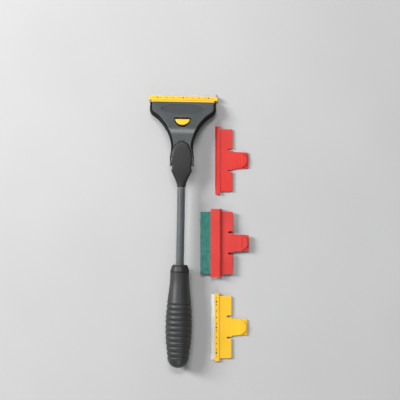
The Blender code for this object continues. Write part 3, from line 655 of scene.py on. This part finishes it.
def ribbed_rubber(name, colour):
    """Soft-touch rubber: matt, darkened in the grooves as painted shade, slightly polished on the crests."""
    n = Nodes(name)
    clouds = n.noise(60, 4.0)
    pores = n.noise(2200, 3.0, 0.6)
    groove = n.attribute("groove")
    base = n.mixed(n.ramp(clouds, 0.3, 0.7, 0.0, 1.0), scaled(colour, 0.88), scaled(colour, 1.12))
    # Painted shade: the grooves are darkened, unevenly through the pores.
    groove_shade = n.math("MULTIPLY", n.ramp(groove, 0.35, 1.0, 0.0, 0.55), n.ramp(pores, 0.4, 0.7, 0.3, 1.0))
    colour_out = n.mixed(groove_shade, base, scaled(colour, 0.30))
    rough = n.math("ADD", n.ramp(groove, 0.0, 1.0, 0.42, 0.72), n.ramp(pores, 0.3, 0.7, -0.03, 0.05))
    normal = n.bump(n.noise(220, 3.0), 0.00010, 0.5)
    normal = n.bump(pores, 0.00005, 0.7, normal)
    return n.finish(colour_out, rough, normal, Specular_IOR_Level=0.45)


def coated_tube(name, colour):
    """Dark grey coating on the tube: orange peel, fine lengthwise draw lines and a few scratches."""
    n = Nodes(name)
    lines = n.noise(1400, 3.0, 0.6, n.stretched((1.0, 0.01, 1.0)))
    clouds = n.noise(70, 4.0)
    base = n.mixed(n.ramp(clouds, 0.3, 0.7, 0.0, 1.0), scaled(colour, 0.90), scaled(colour, 1.10))
    scratch = n.ramp(n.noise(420, 5.0, 0.75, n.stretched((1.0, 0.05, 1.0))), 0.66, 0.74, 0.0, 0.35)
    colour_out = n.mixed(scratch, base, scaled(colour, 2.2))
    rough = n.math("ADD", n.ramp(lines, 0.3, 0.7, 0.24, 0.34), n.math("MULTIPLY", scratch, 0.4))
    normal = n.bump(lines, 0.00002, 0.5)
    normal = n.bump(n.noise(700, 1.0), 0.00003, 0.5, normal)
    return n.finish(colour_out, rough, normal, Metallic=0.35, Coat_Weight=0.35, Coat_Roughness=0.12)


def ground_steel(name, colour, roughness):
    """Stainless blade steel: grinding lines along the edge, faint water marks."""
    n = Nodes(name)
    lines = n.noise(3200, 4.0, 0.65, n.stretched((0.015, 1.0, 1.0)))
    marks = n.noise(130, 5.0, 0.6)
    base = n.mixed(n.ramp(lines, 0.3, 0.7, 0.0, 1.0), scaled(colour, 0.93), scaled(colour, 1.04))
    colour_out = n.mixed(n.ramp(marks, 0.58, 0.75, 0.0, 0.15), base, scaled(colour, 0.85))
    rough = n.math("ADD", n.ramp(lines, 0.3, 0.7, roughness - 0.06, roughness + 0.08),
                   n.ramp(marks, 0.5, 0.8, 0.0, 0.15))
    normal = n.bump(lines, 0.000002, 0.3)
    return n.finish(colour_out, rough, normal, Metallic=0.7)


def scouring_fibre(name, colour):
    """Non-woven abrasive fibre: each strand its own tint, with grit, and the gaps between fibres darkened as
    painted shade.
    """
    n = Nodes(name)
    shade = n.attribute("shade")
    tangle = n.noise(1500, 6.0, 0.7)
    patches = n.noise(110, 3.0)
    # The tangle noise varies the fibre tone and darkens the gaps between fibres as painted shade.
    base = n.mixed(n.ramp(tangle, 0.38, 0.62, 0.0, 1.0), scaled(colour, 0.55), scaled(colour, 1.25))
    paler = tuple(channel * 0.8 + 0.10 for channel in colour)
    colour_out = n.mixed(n.ramp(n.math("ADD", shade, patches), 0.7, 1.5, 0.0, 0.55), base, paler)
    rough = n.ramp(tangle, 0.3, 0.7, 0.80, 0.97)
    normal = n.bump(tangle, 0.0004, 0.9)
    return n.finish(colour_out, rough, normal, Sheen_Weight=0.12, Sheen_Roughness=0.6)


RUBBER = ribbed_rubber("grip rubber", (0.026, 0.028, 0.029))
DARK = moulded("dark plastic", (0.021, 0.021, 0.021), 0.44, specular=0.35)
# Near-black copy of the dark plastic for the head's rim and the window frame: painted shade.
RIM_PAINTED_SHADE = moulded("rim plastic", (0.007, 0.007, 0.007), 0.50, specular=0.10)
# The face's recessed oval floor is darkened to 0.8 of the grey: painted shade.
FACE = moulded("grey face", (0.053, 0.060, 0.063), 0.36, painted_recess_shade=0.80)
TUBE = coated_tube("tube coating", (0.115, 0.128, 0.134))
STEEL = ground_steel("blade steel", (0.84, 0.85, 0.86), 0.36)
PIN_STEEL = ground_steel("pin steel", (0.45, 0.45, 0.46), 0.35)
# The yellow's dimple floors are darkened to a tenth of the colour: painted shade.
YELLOW = moulded("yellow plastic", (0.850, 0.492, 0.022), 0.38, 0.00001, coat=0.10, drift=0.04, painted_recess_shade=0.10)
RED = moulded("red plastic", (0.620, 0.020, 0.013), 0.40, 0.00001, coat=0.10, drift=0.05)
PINK = moulded("light red plastic", (0.570, 0.032, 0.026), 0.40, 0.00001, coat=0.10, drift=0.05)
GREEN = scouring_fibre("scouring fibre", (0.020, 0.205, 0.165))


# ---------------------------------------------------------------- making pieces
def piece(name, mesh, surface, matrix, body, slot, *nodes, sharp=32):
    """Place a finished piece, hide the imported parts that it stands for and fix it to its body, if it has one."""
    mesh.materials.clear()
    mesh.materials.append(surface)
    mesh.shade_smooth()
    mesh.set_sharp_from_angle(angle=math.radians(sharp))
    made = bpy.data.objects.new(name, mesh)
    bpy.context.scene.collection.objects.link(made)
    made.matrix_world = matrix
    weighted = made.modifiers.new("normals", "WEIGHTED_NORMAL")
    weighted.keep_sharp = True
    weighted.weight = 80
    if body:
        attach(made, body)
    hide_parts(*nodes)
    return made


# ---------------------------------------------------------------- handle
def through(stations, along):
    """Return the value at a place by a cubic through (place, value) stations."""
    index = 1
    while index < len(stations) - 1 and stations[index][0] < along:
        index += 1
    (x0, y0), (x1, y1) = stations[index - 1], stations[index]
    before = stations[max(index - 2, 0)]
    after = stations[min(index + 1, len(stations) - 1)]
    slope0 = (y1 - before[1]) / (x1 - before[0])
    slope1 = (after[1] - y0) / (after[0] - x0)
    span = x1 - x0
    t = (along - x0) / span
    return ((2 * t ** 3 - 3 * t * t + 1) * y0 + (t ** 3 - 2 * t * t + t) * span * slope0
            + (3 * t * t - 2 * t ** 3) * y1 + (t ** 3 - t * t) * span * slope1)


def groove_depth(along):
    """Return how deep a place lies below the grip's crests, from 0 to 1: round ribs, sharp grooves."""
    turn = (along - GROOVE_FIRST) / GROOVE_PITCH
    if turn < 0 or turn > GROOVE_COUNT - 1:
        away = -turn if turn < 0 else turn - GROOVE_COUNT + 1
        return max(0.0, 1 - away * GROOVE_PITCH / SHOULDER) ** 2
    share = turn - math.floor(turn)
    return (2 * share - 1) ** 2


def grip_sleeve():
    """The ribbed sleeve with its rounded butt."""
    last = GROOVE_FIRST + (GROOVE_COUNT - 1) * GROOVE_PITCH
    places = [0.0, 0.0002, 0.0005] + spread(0.0008, GROOVE_FIRST, 0.0004)
    places += spread(GROOVE_FIRST, last, GROOVE_PITCH / 16)[1:]
    places += spread(last, last + SHOULDER, SHOULDER / 8)[1:]
    places += spread(last + SHOULDER, GRIP_LENGTH, 0.0008)[1:]
    profile = [(0.0, 0.0025)]
    for along in places:
        profile.append((along, through(GRIP_RADII, along) - GROOVE_DEPTH * groove_depth(along)))
    profile.append((GRIP_LENGTH, 0.0090))
    mesh = revolved(profile, 96, "grip", groove_depth)
    piece("grip", mesh, RUBBER, SCRAPER, "handle", "grip_rubber", "grip_sleeve", sharp=60)


def handle_pieces():
    """The collar, the tube and the knuckle."""
    mesh = revolved(COLLAR, 96, "collar")
    piece("grip_collar", mesh, DARK, SCRAPER, "handle", "dark_plastic", "grip_core", sharp=50)
    start, end = TUBE_SPAN
    crest = TUBE_RADIUS + TUBE_BEAD
    profile = [(start, TUBE_INSIDE), (start, TUBE_RADIUS)]
    profile += [(along, TUBE_RADIUS) for along in spread(start + 0.0005, end - 0.0012, 0.004)]
    profile += [(end - 0.0009, TUBE_RADIUS), (end - 0.0006, crest), (end - 0.0002, crest),
                (end, TUBE_RADIUS - 0.0001), (end, TUBE_INSIDE)]
    mesh = revolved(profile, 64, "tube")
    piece("shaft", mesh, TUBE, SCRAPER, "handle", "painted_tube", "shaft_tube", sharp=50)
    knuckle()


def neck_section(width, along, normal):
    """Return one ring of the neck's skin, round at the mouth and flat on top at the lug."""
    share = min(max((along - NECK[0][0]) / (WAIST_Y - NECK[0][0]), 0.0), 1.0)
    share = share * share * (3 - 2 * share)
    mouth = NECK[0][1]
    low = -mouth + share * (HEAD_BACK - PLATE_MIDDLE + mouth)
    high = mouth + share * (HEAD_FRONT - PLATE_MIDDLE + LUG_PROUD - mouth)
    rounding = mouth + share * (LUG_ROUND - mouth)
    side = []
    for level, sign in ((low, -1), (high, 1)):
        for k in range(9):
            angle = math.pi / 2 * (k / 8 if sign > 0 else 1 - k / 8)
            inward = rounding * (1 - math.cos(angle))
            x = max(width - normal[0] * inward, 0.00005 if width else 0.0)
            side.append((x, along - normal[1] * inward, level - sign * rounding * (1 - math.sin(angle))))
    for first, step in ((side[-1], 1), (side[0], -1)):
        for t in (0.75, 0.5, 0.25, 0.0):
            crown = LUG_CROWN * min(first[0] / 0.008, 1.0) * (1 - t * t) if step > 0 else 0.0
            column = (first[0] * t, first[1], first[2] + crown)
            side = side + [column] if step > 0 else [column] + side
    return side + [(-x, y, z) for x, y, z in reversed(side[1:-1])]


def knuckle():
    """The socket and the lug in one skin that turns from round to flat, on the lug's lower part."""
    rings = []
    for along in spread(NECK[0][0], PIVOT_Y, 0.0005)[:-1]:
        rings.append(neck_section(through(NECK, along), along, (1.0, 0.0)))
    half = NECK[-1][1]
    for i in range(41):
        angle = math.pi / 2 * i / 40
        normal = Vector((math.cos(angle) * LUG_LENGTH, math.sin(angle) * half)).normalized()
        width = half * math.cos(angle) if i < 40 else 0.0
        rings.append(neck_section(width, PIVOT_Y + LUG_LENGTH * math.sin(angle), normal))
    work = bmesh.new()
    work.from_mesh(stack(rings, "neck"))
    bmesh.ops.remove_doubles(work, verts=work.verts, dist=1e-6)
    bmesh.ops.dissolve_degenerate(work, edges=work.edges, dist=1e-7)
    hole = cylinder(PIN_RADIUS + PIN_PLAY, 0.06, (0, PIVOT_Y, 0), 48)
    back = -EAR_BACK + 0.001
    front_half, back_half = SKIRT_HALVES
    skirt = [(-front_half, -FORK_STEP), (-back_half, -SKIRT_STEP), (-back_half, back),
             (back_half, back), (back_half, -SKIRT_STEP), (front_half, -FORK_STEP)]
    skirt = plate(skirt + arc((0, 0), (front_half, SKIRT_LENGTH), 0, 180, 60), *SKIRT_HEIGHTS)
    skirt.transform(Matrix.Translation((0, PIVOT_Y, 0)))
    mesh = cut(join(mesh_from(work, "neck"), skirt), hole)
    piece("neck_socket", mesh, DARK, SCRAPER, "handle", "dark_plastic", "neck_knuckle")


# ---------------------------------------------------------------- head
def head_pieces():
    """The shell with its rim darkened as painted shade, the grey face and the pivot pin."""
    outline = head_outline()
    body = plate(outline, HEAD_BACK, HEAD_FRONT, HEAD_ROUND, HEAD_ROUND, 6)
    fork = plate(fork_outline(), -0.02, 0.02)
    hole = cylinder(PIN_RADIUS + PIN_PLAY, 0.08, (0, 0, PLATE_MIDDLE), 48)
    recess_outline = [(x, HEAD_EDGE + PAST_EDGE if s > HEAD_EDGE - 0.005 else s)
                      for x, s in inset(outline, COVER_BORDER)]
    recess = plate(recess_outline, SLOT_HALF_HEIGHT, HEAD_FRONT + PAST_EDGE)
    slot = box((-SLOT_HALF, HEAD_EDGE - SLOT_DEPTH, -SLOT_HALF_HEIGHT),
               (SLOT_HALF, HEAD_EDGE + PAST_EDGE, SLOT_HALF_HEIGHT + 0.0001))
    channel = box((-CHANNEL_HALF, HEAD_EDGE - CHANNEL_DEPTH, CHANNEL_FLOOR),
                  (CHANNEL_HALF, HEAD_EDGE - CHANNEL_START, SLOT_HALF_HEIGHT + 0.0001))
    mesh = bend_plate(cut(body, fork, hole, recess, slot, channel))
    piece("head_shell", mesh, RIM_PAINTED_SHADE, HEAD, "head", "dark_plastic", "head_body")

    edge = [(x, HEAD_EDGE if s > HEAD_EDGE - 0.005 else s)
            for x, s in inset(outline, COVER_BORDER + SEAM)]
    cover = plate(edge, SLOT_HALF_HEIGHT + SEAM, HEAD_FRONT, 0.0002, 0.0006, 4)
    fork = plate(fork_outline(), -0.02, 0.02)
    window = flared(window_outline(0.0), 0.0, HEAD_FRONT, COVER_FLARE)
    centre = (0, HEAD_EDGE - OVAL_FROM_EDGE)
    halves = (OVAL_SIZE[0] / 2, OVAL_SIZE[1] / 2)
    oval = flared(arc(centre, halves, 0, 357, 119), HEAD_FRONT - OVAL_DEPTH, HEAD_FRONT, COVER_FLARE)
    mesh = cut(cover, fork, window, oval)
    # Mark the recessed oval floor for painted shade.
    painted_recess_shade = mesh.attributes.new("painted_recess_shade", "FLOAT", "POINT")
    for vertex in mesh.vertices:
        x, s, above = vertex.co
        inside = (x / halves[0]) ** 2 + ((s - centre[1]) / halves[1]) ** 2 < 1.02
        painted_recess_shade.data[vertex.index].value = 1.0 if inside and above < HEAD_FRONT - 0.3 * OVAL_DEPTH else 0.0
    mesh = bend_plate(mesh)
    piece("head_face", mesh, FACE, HEAD, "head", "grey_face", "head_cover")

    # The window frame takes the rim's near-black: painted shade in the gap around the button.
    ring = plate(window_outline(SEAM), SLOT_HALF_HEIGHT + SEAM, HEAD_FRONT - FRAME_LOW, 0.0001, 0.0003, 3)
    flat = HEAD_EDGE - BUTTON_FROM + FRAME_CLEAR
    opening = flared(d_outline(BUTTON_WIDTH + 2 * FRAME_CLEAR, flat, BUTTON_DEPTH + 2 * FRAME_CLEAR), 0.0,
                     HEAD_FRONT - FRAME_LOW, 0.0002)
    mesh = bend_plate(cut(ring, opening))
    piece("button_frame", mesh, RIM_PAINTED_SHADE, HEAD, "head", "dark_plastic", "window_frame")

    half = EAR_HALF - 0.0003
    profile = [(-half, PIN_RADIUS / 2), (-half, PIN_RADIUS - PIN_CHAMFER), (-half + PIN_CHAMFER, PIN_RADIUS),
               (half - PIN_CHAMFER, PIN_RADIUS), (half, PIN_RADIUS - PIN_CHAMFER), (half, PIN_RADIUS / 2)]
    mesh = revolved(profile, 48, "pin")
    mesh.transform(Matrix.Rotation(-math.pi / 2, 4, "Z"))
    piece("tilt_pin", mesh, PIN_STEEL, HEAD, "head", "blade_steel", "pivot_pin")


# ---------------------------------------------------------------- tools
def on_blade(along, above):
    """Return the tool's Y and Z of a place given along and above the sloping blade."""
    c, s = math.cos(BLADE_SLOPE), math.sin(BLADE_SLOPE)
    return (BLADE_EXIT[0] + along * c - above * s, BLADE_EXIT[1] + along * s + above * c)


def plate_and_tongue():
    """The plate with its two notches and, between them, the tongue, which is thinner below."""
    notch_radius = (NOTCH_OUTER - NOTCH_INNER) / 2
    notch_centre = (NOTCH_OUTER + NOTCH_INNER) / 2
    half = arc((TONGUE_TIP - TIP_CORNER, -TONGUE_END + TIP_CORNER), (TIP_CORNER, TIP_CORNER), 270, 360, 6)
    half += softened_step((TONGUE_MIDDLE, -PLATE_DEPTH - TONGUE_STEP), (NOTCH_INNER, -PLATE_DEPTH))
    half += arc((notch_centre, -NOTCH_FLOOR - notch_radius), (notch_radius, notch_radius), 180, 0, 8)
    half += [(NOTCH_OUTER, -PLATE_DEPTH + 0.0004), (NOTCH_OUTER + 0.0004, -PLATE_DEPTH)]
    half += arc((PLATE_HALF - PLATE_CORNER, -PLATE_DEPTH + PLATE_CORNER), (PLATE_CORNER, PLATE_CORNER), 270, 360, 6)
    half.append((PLATE_HALF, BAR_REAR + 0.0008))
    body = plate(mirrored(half), -PLATE_TOP, PLATE_TOP, 0.0002, 0.0003, 3)
    body = sliced(body, spread(-0.0180, -NOTCH_FLOOR, 0.0010), 1)
    for vertex in body.vertices:
        if vertex.co.z < 0:
            share = min(max((-vertex.co.y - NOTCH_FLOOR) / TONGUE_THINNING, 0.0), 1.0)
            if abs(vertex.co.x) > NOTCH_INNER + 0.0004:
                share = 0.0
            vertex.co.z *= 1 - share * (1 + TONGUE_BOTTOM / PLATE_TOP)
    return body


def softened_step(start, end):
    """Return points of an S-shaped step along Y between two widths."""
    points = []
    for i in range(9):
        t = i / 8
        points.append((start[0] + (end[0] - start[0]) * t * t * (3 - 2 * t), start[1] + (end[1] - start[1]) * t))
    return points


def button():
    """The D button with its rounded rim, and the low step in front of it."""
    top = plate(d_outline(BUTTON_WIDTH, -BUTTON_FROM, BUTTON_DEPTH), 0.0004, BUTTON_TOP, 0.0002, 0.0009, 5)
    rear = -BUTTON_FROM + 0.0004
    front = -BUTTON_FROM + BUTTON_STEP_DEPTH
    half = BUTTON_STEP_HALF
    step = plate(softened([(-half, rear), (half, rear), (half, front), (-half, front)], 0.0005),
                 0.0004, PLATE_TOP + 0.00025, 0.0001, 0.0002, 3)
    return top, step


def moulding(name, bar, surface, matrix, slot, nodes, dimples=()):
    """Join a bar with the plate, tongue and button, cut any dimples, mark their floors for painted shade and place
    the moulding.
    """
    mesh = join(bar, plate_and_tongue(), *button())
    if dimples:
        mesh = cut(mesh, *dimples)
        paint_dimple_shade(mesh)
    mesh = sliced(mesh, spread(-PLATE_HALF + 0.004, PLATE_HALF - 0.004, 0.004), 0)
    made = piece(name, mesh, surface, matrix, None, slot, *nodes)
    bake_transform(made)


def paint_dimple_shade(mesh):
    """Mark the floors of the dimples for painted shade, so that they look deep."""
    painted_recess_shade = mesh.attributes.new("painted_recess_shade", "FLOAT", "POINT")
    for vertex in mesh.vertices:
        x, y, z = vertex.co
        near = any(math.hypot(abs(x) - offset, y - PIP_AT) < DIMPLE_REACH for offset in PIP_OFFSETS + (PIP_FAINT,))
        painted_recess_shade.data[vertex.index].value = 1.0 if near and DIMPLE_FLOOR - 0.0001 < z < DIMPLE_FLOOR + 0.0001 else 0.0


def blade_tool(prefix, matrix, bodies):
    """A steel blade in its yellow holder, with the clamp strip beneath."""
    half_blade = BLADE_THICK / 2
    gap = BLADE_GAP
    pocket = -BLADE_HELD - gap
    profile = [
        (BAR_REAR, BAR_BOTTOM), (BAR_REAR + 0.0008, BAR_BOTTOM),
        on_blade(pocket, -half_blade - CLAMP_THICK - 2 * gap), on_blade(pocket, half_blade + gap),
        on_blade(0.0, half_blade + gap), BAR_NOSE, BAR_SHOULDER, (BAR_REAR, BAR_TOP)]
    bar = extruded(softened(profile, 0.0003), BAR_HALF, 0.0002)
    dimples = []
    for offset in PIP_OFFSETS + (PIP_FAINT,):
        radius = PIP_RADII[0] if offset in PIP_LARGE else PIP_RADII[2] if offset == PIP_FAINT else PIP_RADII[1]
        for side in ((1,) if offset == 0 else (-1, 1)):
            centre = (side * offset, PIP_AT, DIMPLE_FLOOR + DIMPLE_CUTTER / 2)
            dimples.append(cylinder(radius, DIMPLE_CUTTER, centre, 20, upright=True))
    moulding(prefix + "tool_holder", bar, YELLOW, matrix, "yellow_plastic",
             (prefix + "blade_holder", prefix + "blade_latch"), dimples)

    top = -half_blade - gap
    corners = ((-BLADE_HELD, top), (-BLADE_HELD, top - CLAMP_THICK), (-0.0004, top - CLAMP_THICK),
               (0.0, top - CLAMP_THICK / 2), (0.0, top))
    profile = softened([on_blade(*corner) for corner in corners], 0.0002)
    piece(prefix + "under_clamp", extruded(profile, CLAMP_HALF, 0.0001), YELLOW, matrix, bodies[0],
          "yellow_plastic", prefix + "clamp_strip")

    edge = BLADE_EDGE_THICK / 2
    bevel = BLADE_REACH - BLADE_GROUND
    corners = ((-BLADE_HELD, -half_blade), (bevel, -half_blade), (BLADE_REACH, -edge),
               (BLADE_REACH, edge), (bevel, half_blade), (-BLADE_HELD, half_blade))
    mesh = extruded([on_blade(*corner) for corner in corners], BLADE_HALF_WIDTH, 0.00004)
    piece(prefix + "scraper_blade", mesh, STEEL, matrix, bodies[0], "blade_steel",
          prefix + "steel_blade", sharp=5)


def plastic_tool(matrix):
    """The one-piece plastic scraper with its bevelled edge."""
    edge_y, edge_z = PLASTIC_EDGE
    profile = [(BAR_REAR, -0.0019), PLASTIC_EDGE, (edge_y, edge_z + 0.0003), (PLASTIC_FLAT, PLASTIC_TOP),
               (BAR_REAR, PLASTIC_TOP)]
    bar = extruded(softened(profile, 0.0003), BAR_HALF, 0.0001)
    moulding("plastic_scraper", bar, RED, matrix, "red_plastic", ("plastic_blade", "plastic_latch"))


def sponge_tool(matrix, bodies):
    """The thick holder and its scouring pad."""
    roof = PAD_TOP + 0.0003
    bottom = PAD_BOTTOM + 0.0010
    slope_end, slope_start = SPONGE_SLOPE
    profile = [
        (SPONGE_BAR_REAR, bottom), (SPONGE_WALL, bottom), (SPONGE_WALL, roof), (SPONGE_BAR_REACH, roof),
        (SPONGE_BAR_REACH, SPONGE_BAR_TOP), (slope_end, SPONGE_BAR_TOP), (SPONGE_BAR_REAR, slope_start)]
    bar = extruded(softened(profile, 0.0006), SPONGE_BAR_HALF, 0.0004)
    moulding("pad_holder", bar, PINK, matrix, "sponge_holder_red", ("sponge_holder", "sponge_latch"))
    pad = piece("green_pad", pad_mesh(), GREEN, matrix, bodies[0], "scouring_green", "scouring_pad", sharp=180)


def pad_mesh():
    """The fibre block with its ragged skin, and loose strands looping out of it."""
    draw = random.Random(5)
    work = bmesh.new()
    bmesh.ops.create_cube(work, size=1.0)
    low = Vector((-PAD_HALF + 0.0006, PAD_START, PAD_BOTTOM + 0.0004))
    high = Vector((PAD_HALF - 0.0006, PAD_REACH - 0.0006, PAD_TOP - 0.0002))
    size = high - low
    placing = Matrix.Translation((low + high) / 2) @ Matrix.Diagonal((*size, 1.0))
    bmesh.ops.transform(work, matrix=placing, verts=work.verts)
    for axis in range(3):
        slice_faces(work, spread(low[axis], high[axis], PAD_CELL)[1:-1], axis)
    work.normal_update()
    moves = {}
    for vertex in work.verts:
        depth = noise.fractal(vertex.co * 900, 0.8, 2.0, 3) * 0.00025 + noise.noise(vertex.co * 260) * 0.0002
        depth = min(max(depth, -0.0007), 0.0004)
        moves[vertex] = vertex.co + vertex.normal * depth
    for vertex, place in moves.items():
        vertex.co = place
    shades = work.verts.layers.float.new("shade")
    for vertex in work.verts:
        vertex[shades] = 0.35 + 0.3 * noise.noise(vertex.co * 700)
    for _ in range(PAD_STRANDS):
        add_strand(work, shades, draw, low, high)
    mesh = bpy.data.meshes.new("pad")
    work.to_mesh(mesh)
    work.free()
    return mesh


def add_strand(work, shades, draw, low, high):
    """Add one short curved fibre of three-sided section lying in the pad's skin."""
    faces = ((2, 1), (2, -1), (1, 1), (0, 1), (0, -1))      # (axis, side) of the faces with fibres
    axis, side = draw.choices(faces, weights=(10, 5, 3, 1, 1))[0]
    centre = Vector([draw.uniform(low[k], high[k]) for k in range(3)])
    centre[axis] = high[axis] if side > 0 else low[axis]
    others = [k for k in range(3) if k != axis]
    heading = draw.uniform(0, 2 * math.pi)
    turning = draw.uniform(-1.3, 1.3)
    length = draw.uniform(0.0015, 0.0040)
    radius = draw.uniform(0.00005, 0.00010)
    hump = draw.uniform(0.0001, 0.00045)
    tone = draw.uniform(0.2, 1.0)
    points = []
    place = centre.copy()
    for i in range(STRAND_STEPS + 1):
        t = i / STRAND_STEPS
        point = place.copy()
        point[axis] += side * (hump * math.sin(math.pi * t) - 0.0001)
        for k in range(3):
            point[k] = min(max(point[k], low[k] - 0.0002), high[k] + 0.0005)
        points.append(point)
        angle = heading + turning * t
        place[others[0]] += math.cos(angle) * length / STRAND_STEPS
        place[others[1]] += math.sin(angle) * length / STRAND_STEPS
    rings = []
    for i, point in enumerate(points):
        ahead = points[min(i + 1, STRAND_STEPS)] - points[max(i - 1, 0)]
        if ahead.length < 1e-9:
            ahead = Vector((1, 0, 0))
        ahead.normalize()
        side_way = ahead.cross(Vector((0.3, 0.5, 0.8))).normalized()
        up_way = ahead.cross(side_way)
        ring = []
        for k in range(3):
            angle = 2 * math.pi * k / 3
            vertex = work.verts.new(point + (side_way * math.cos(angle) + up_way * math.sin(angle)) * radius)
            vertex[shades] = tone
            ring.append(vertex)
        rings.append(ring)
    for a, b in zip(rings, rings[1:]):
        for k in range(3):
            j = (k + 1) % 3
            work.faces.new((a[k], a[j], b[j], b[k]))
    work.faces.new(rings[0])
    work.faces.new(rings[-1])


# ---------------------------------------------------------------- studio
def camera():
    """Look straight down through a long lens."""
    data = bpy.data.cameras.new("camera")
    data.sensor_width = SENSOR
    data.lens = SENSOR * VIEW_HEIGHT / VIEW_WIDTH
    data.clip_end = 20
    made = bpy.data.objects.new("camera", data)
    made.location = (VIEW_CENTRE[0], VIEW_CENTRE[1], VIEW_HEIGHT + VIEW_SUBJECT)
    made.rotation_euler = (0, 0, VIEW_ROLL)
    bpy.context.scene.collection.objects.link(made)
    bpy.context.scene.camera = made


def softbox(name, place, target, size, power):
    """Add a white area light that faces a target."""
    data = bpy.data.lights.new(name, "AREA")
    data.shape = "RECTANGLE"
    data.size, data.size_y = size
    data.energy = power
    made = bpy.data.objects.new(name, data)
    made.location = place
    made.rotation_euler = (Vector(target) - Vector(place)).to_track_quat("-Z", "Y").to_euler()
    bpy.context.scene.collection.objects.link(made)


def studio():
    """A pale floor, a key light from the left, a broad one beyond the head, a dim one from the
    handle's side, a small low one that rims the head, and a dim even sky."""
    floor_shape = box((-3, -3, -0.01), (3, 3, -0.0003))
    n = Nodes("floor")
    tone = n.ramp(n.noise(6, 2.0), 0.3, 0.7, 0.0, 1.0)
    colour = n.mixed(tone, (0.46, 0.46, 0.46), (0.485, 0.485, 0.485))
    surface = n.finish(colour, n.ramp(tone, 0, 1, 0.75, 0.85), n.bump(n.noise(900, 2.0), 0.00002, 0.3),
                       Specular_IOR_Level=0.1)
    floor_shape.materials.append(surface)
    floor = bpy.data.objects.new("floor", floor_shape)
    bpy.context.scene.collection.objects.link(floor)
    softbox("left key", (-1.5, 0.55, 1.15), (0, 0, 0), (0.45, 0.9), 46)
    softbox("top soft", (-0.10, 0.85, 1.85), (0, 0.1, 0), (0.8, 0.35), 20)
    softbox("near light", (0.15, -1.4, 0.95), (0, 0, 0), (0.8, 0.4), 6)
    softbox("head rim light", (-0.22, 0.62, 0.24), (-0.02, 0.11, 0.02), (0.30, 0.08), 0.3)
    world = bpy.data.worlds.new("world")
    world.use_nodes = True
    sky = world.node_tree.nodes["Background"]
    sky.inputs["Color"].default_value = (0.95, 0.97, 1.0, 1.0)
    sky.inputs["Strength"].default_value = 0.16
    bpy.context.scene.world = world
    bpy.context.scene.view_settings.view_transform = "Standard"


camera()
studio()
grip_sleeve()
handle_pieces()
head_pieces()
blade_tool("", FITTED, ("blade_tool", "blade_tool_latch"))
blade_lean = resting_tilt(on_blade(BLADE_REACH, -BLADE_EDGE_THICK / 2))
blade_tool("spare_", spare_matrix("spare_latch_press", blade_lean), ("spare_blade_tool", "spare_blade_tool_latch"))
plastic_tool(spare_matrix("plastic_latch_press", resting_tilt(PLASTIC_EDGE)))
sponge_tool(spare_matrix("sponge_latch_press", 0.0), ("sponge_tool", "sponge_tool_latch"))
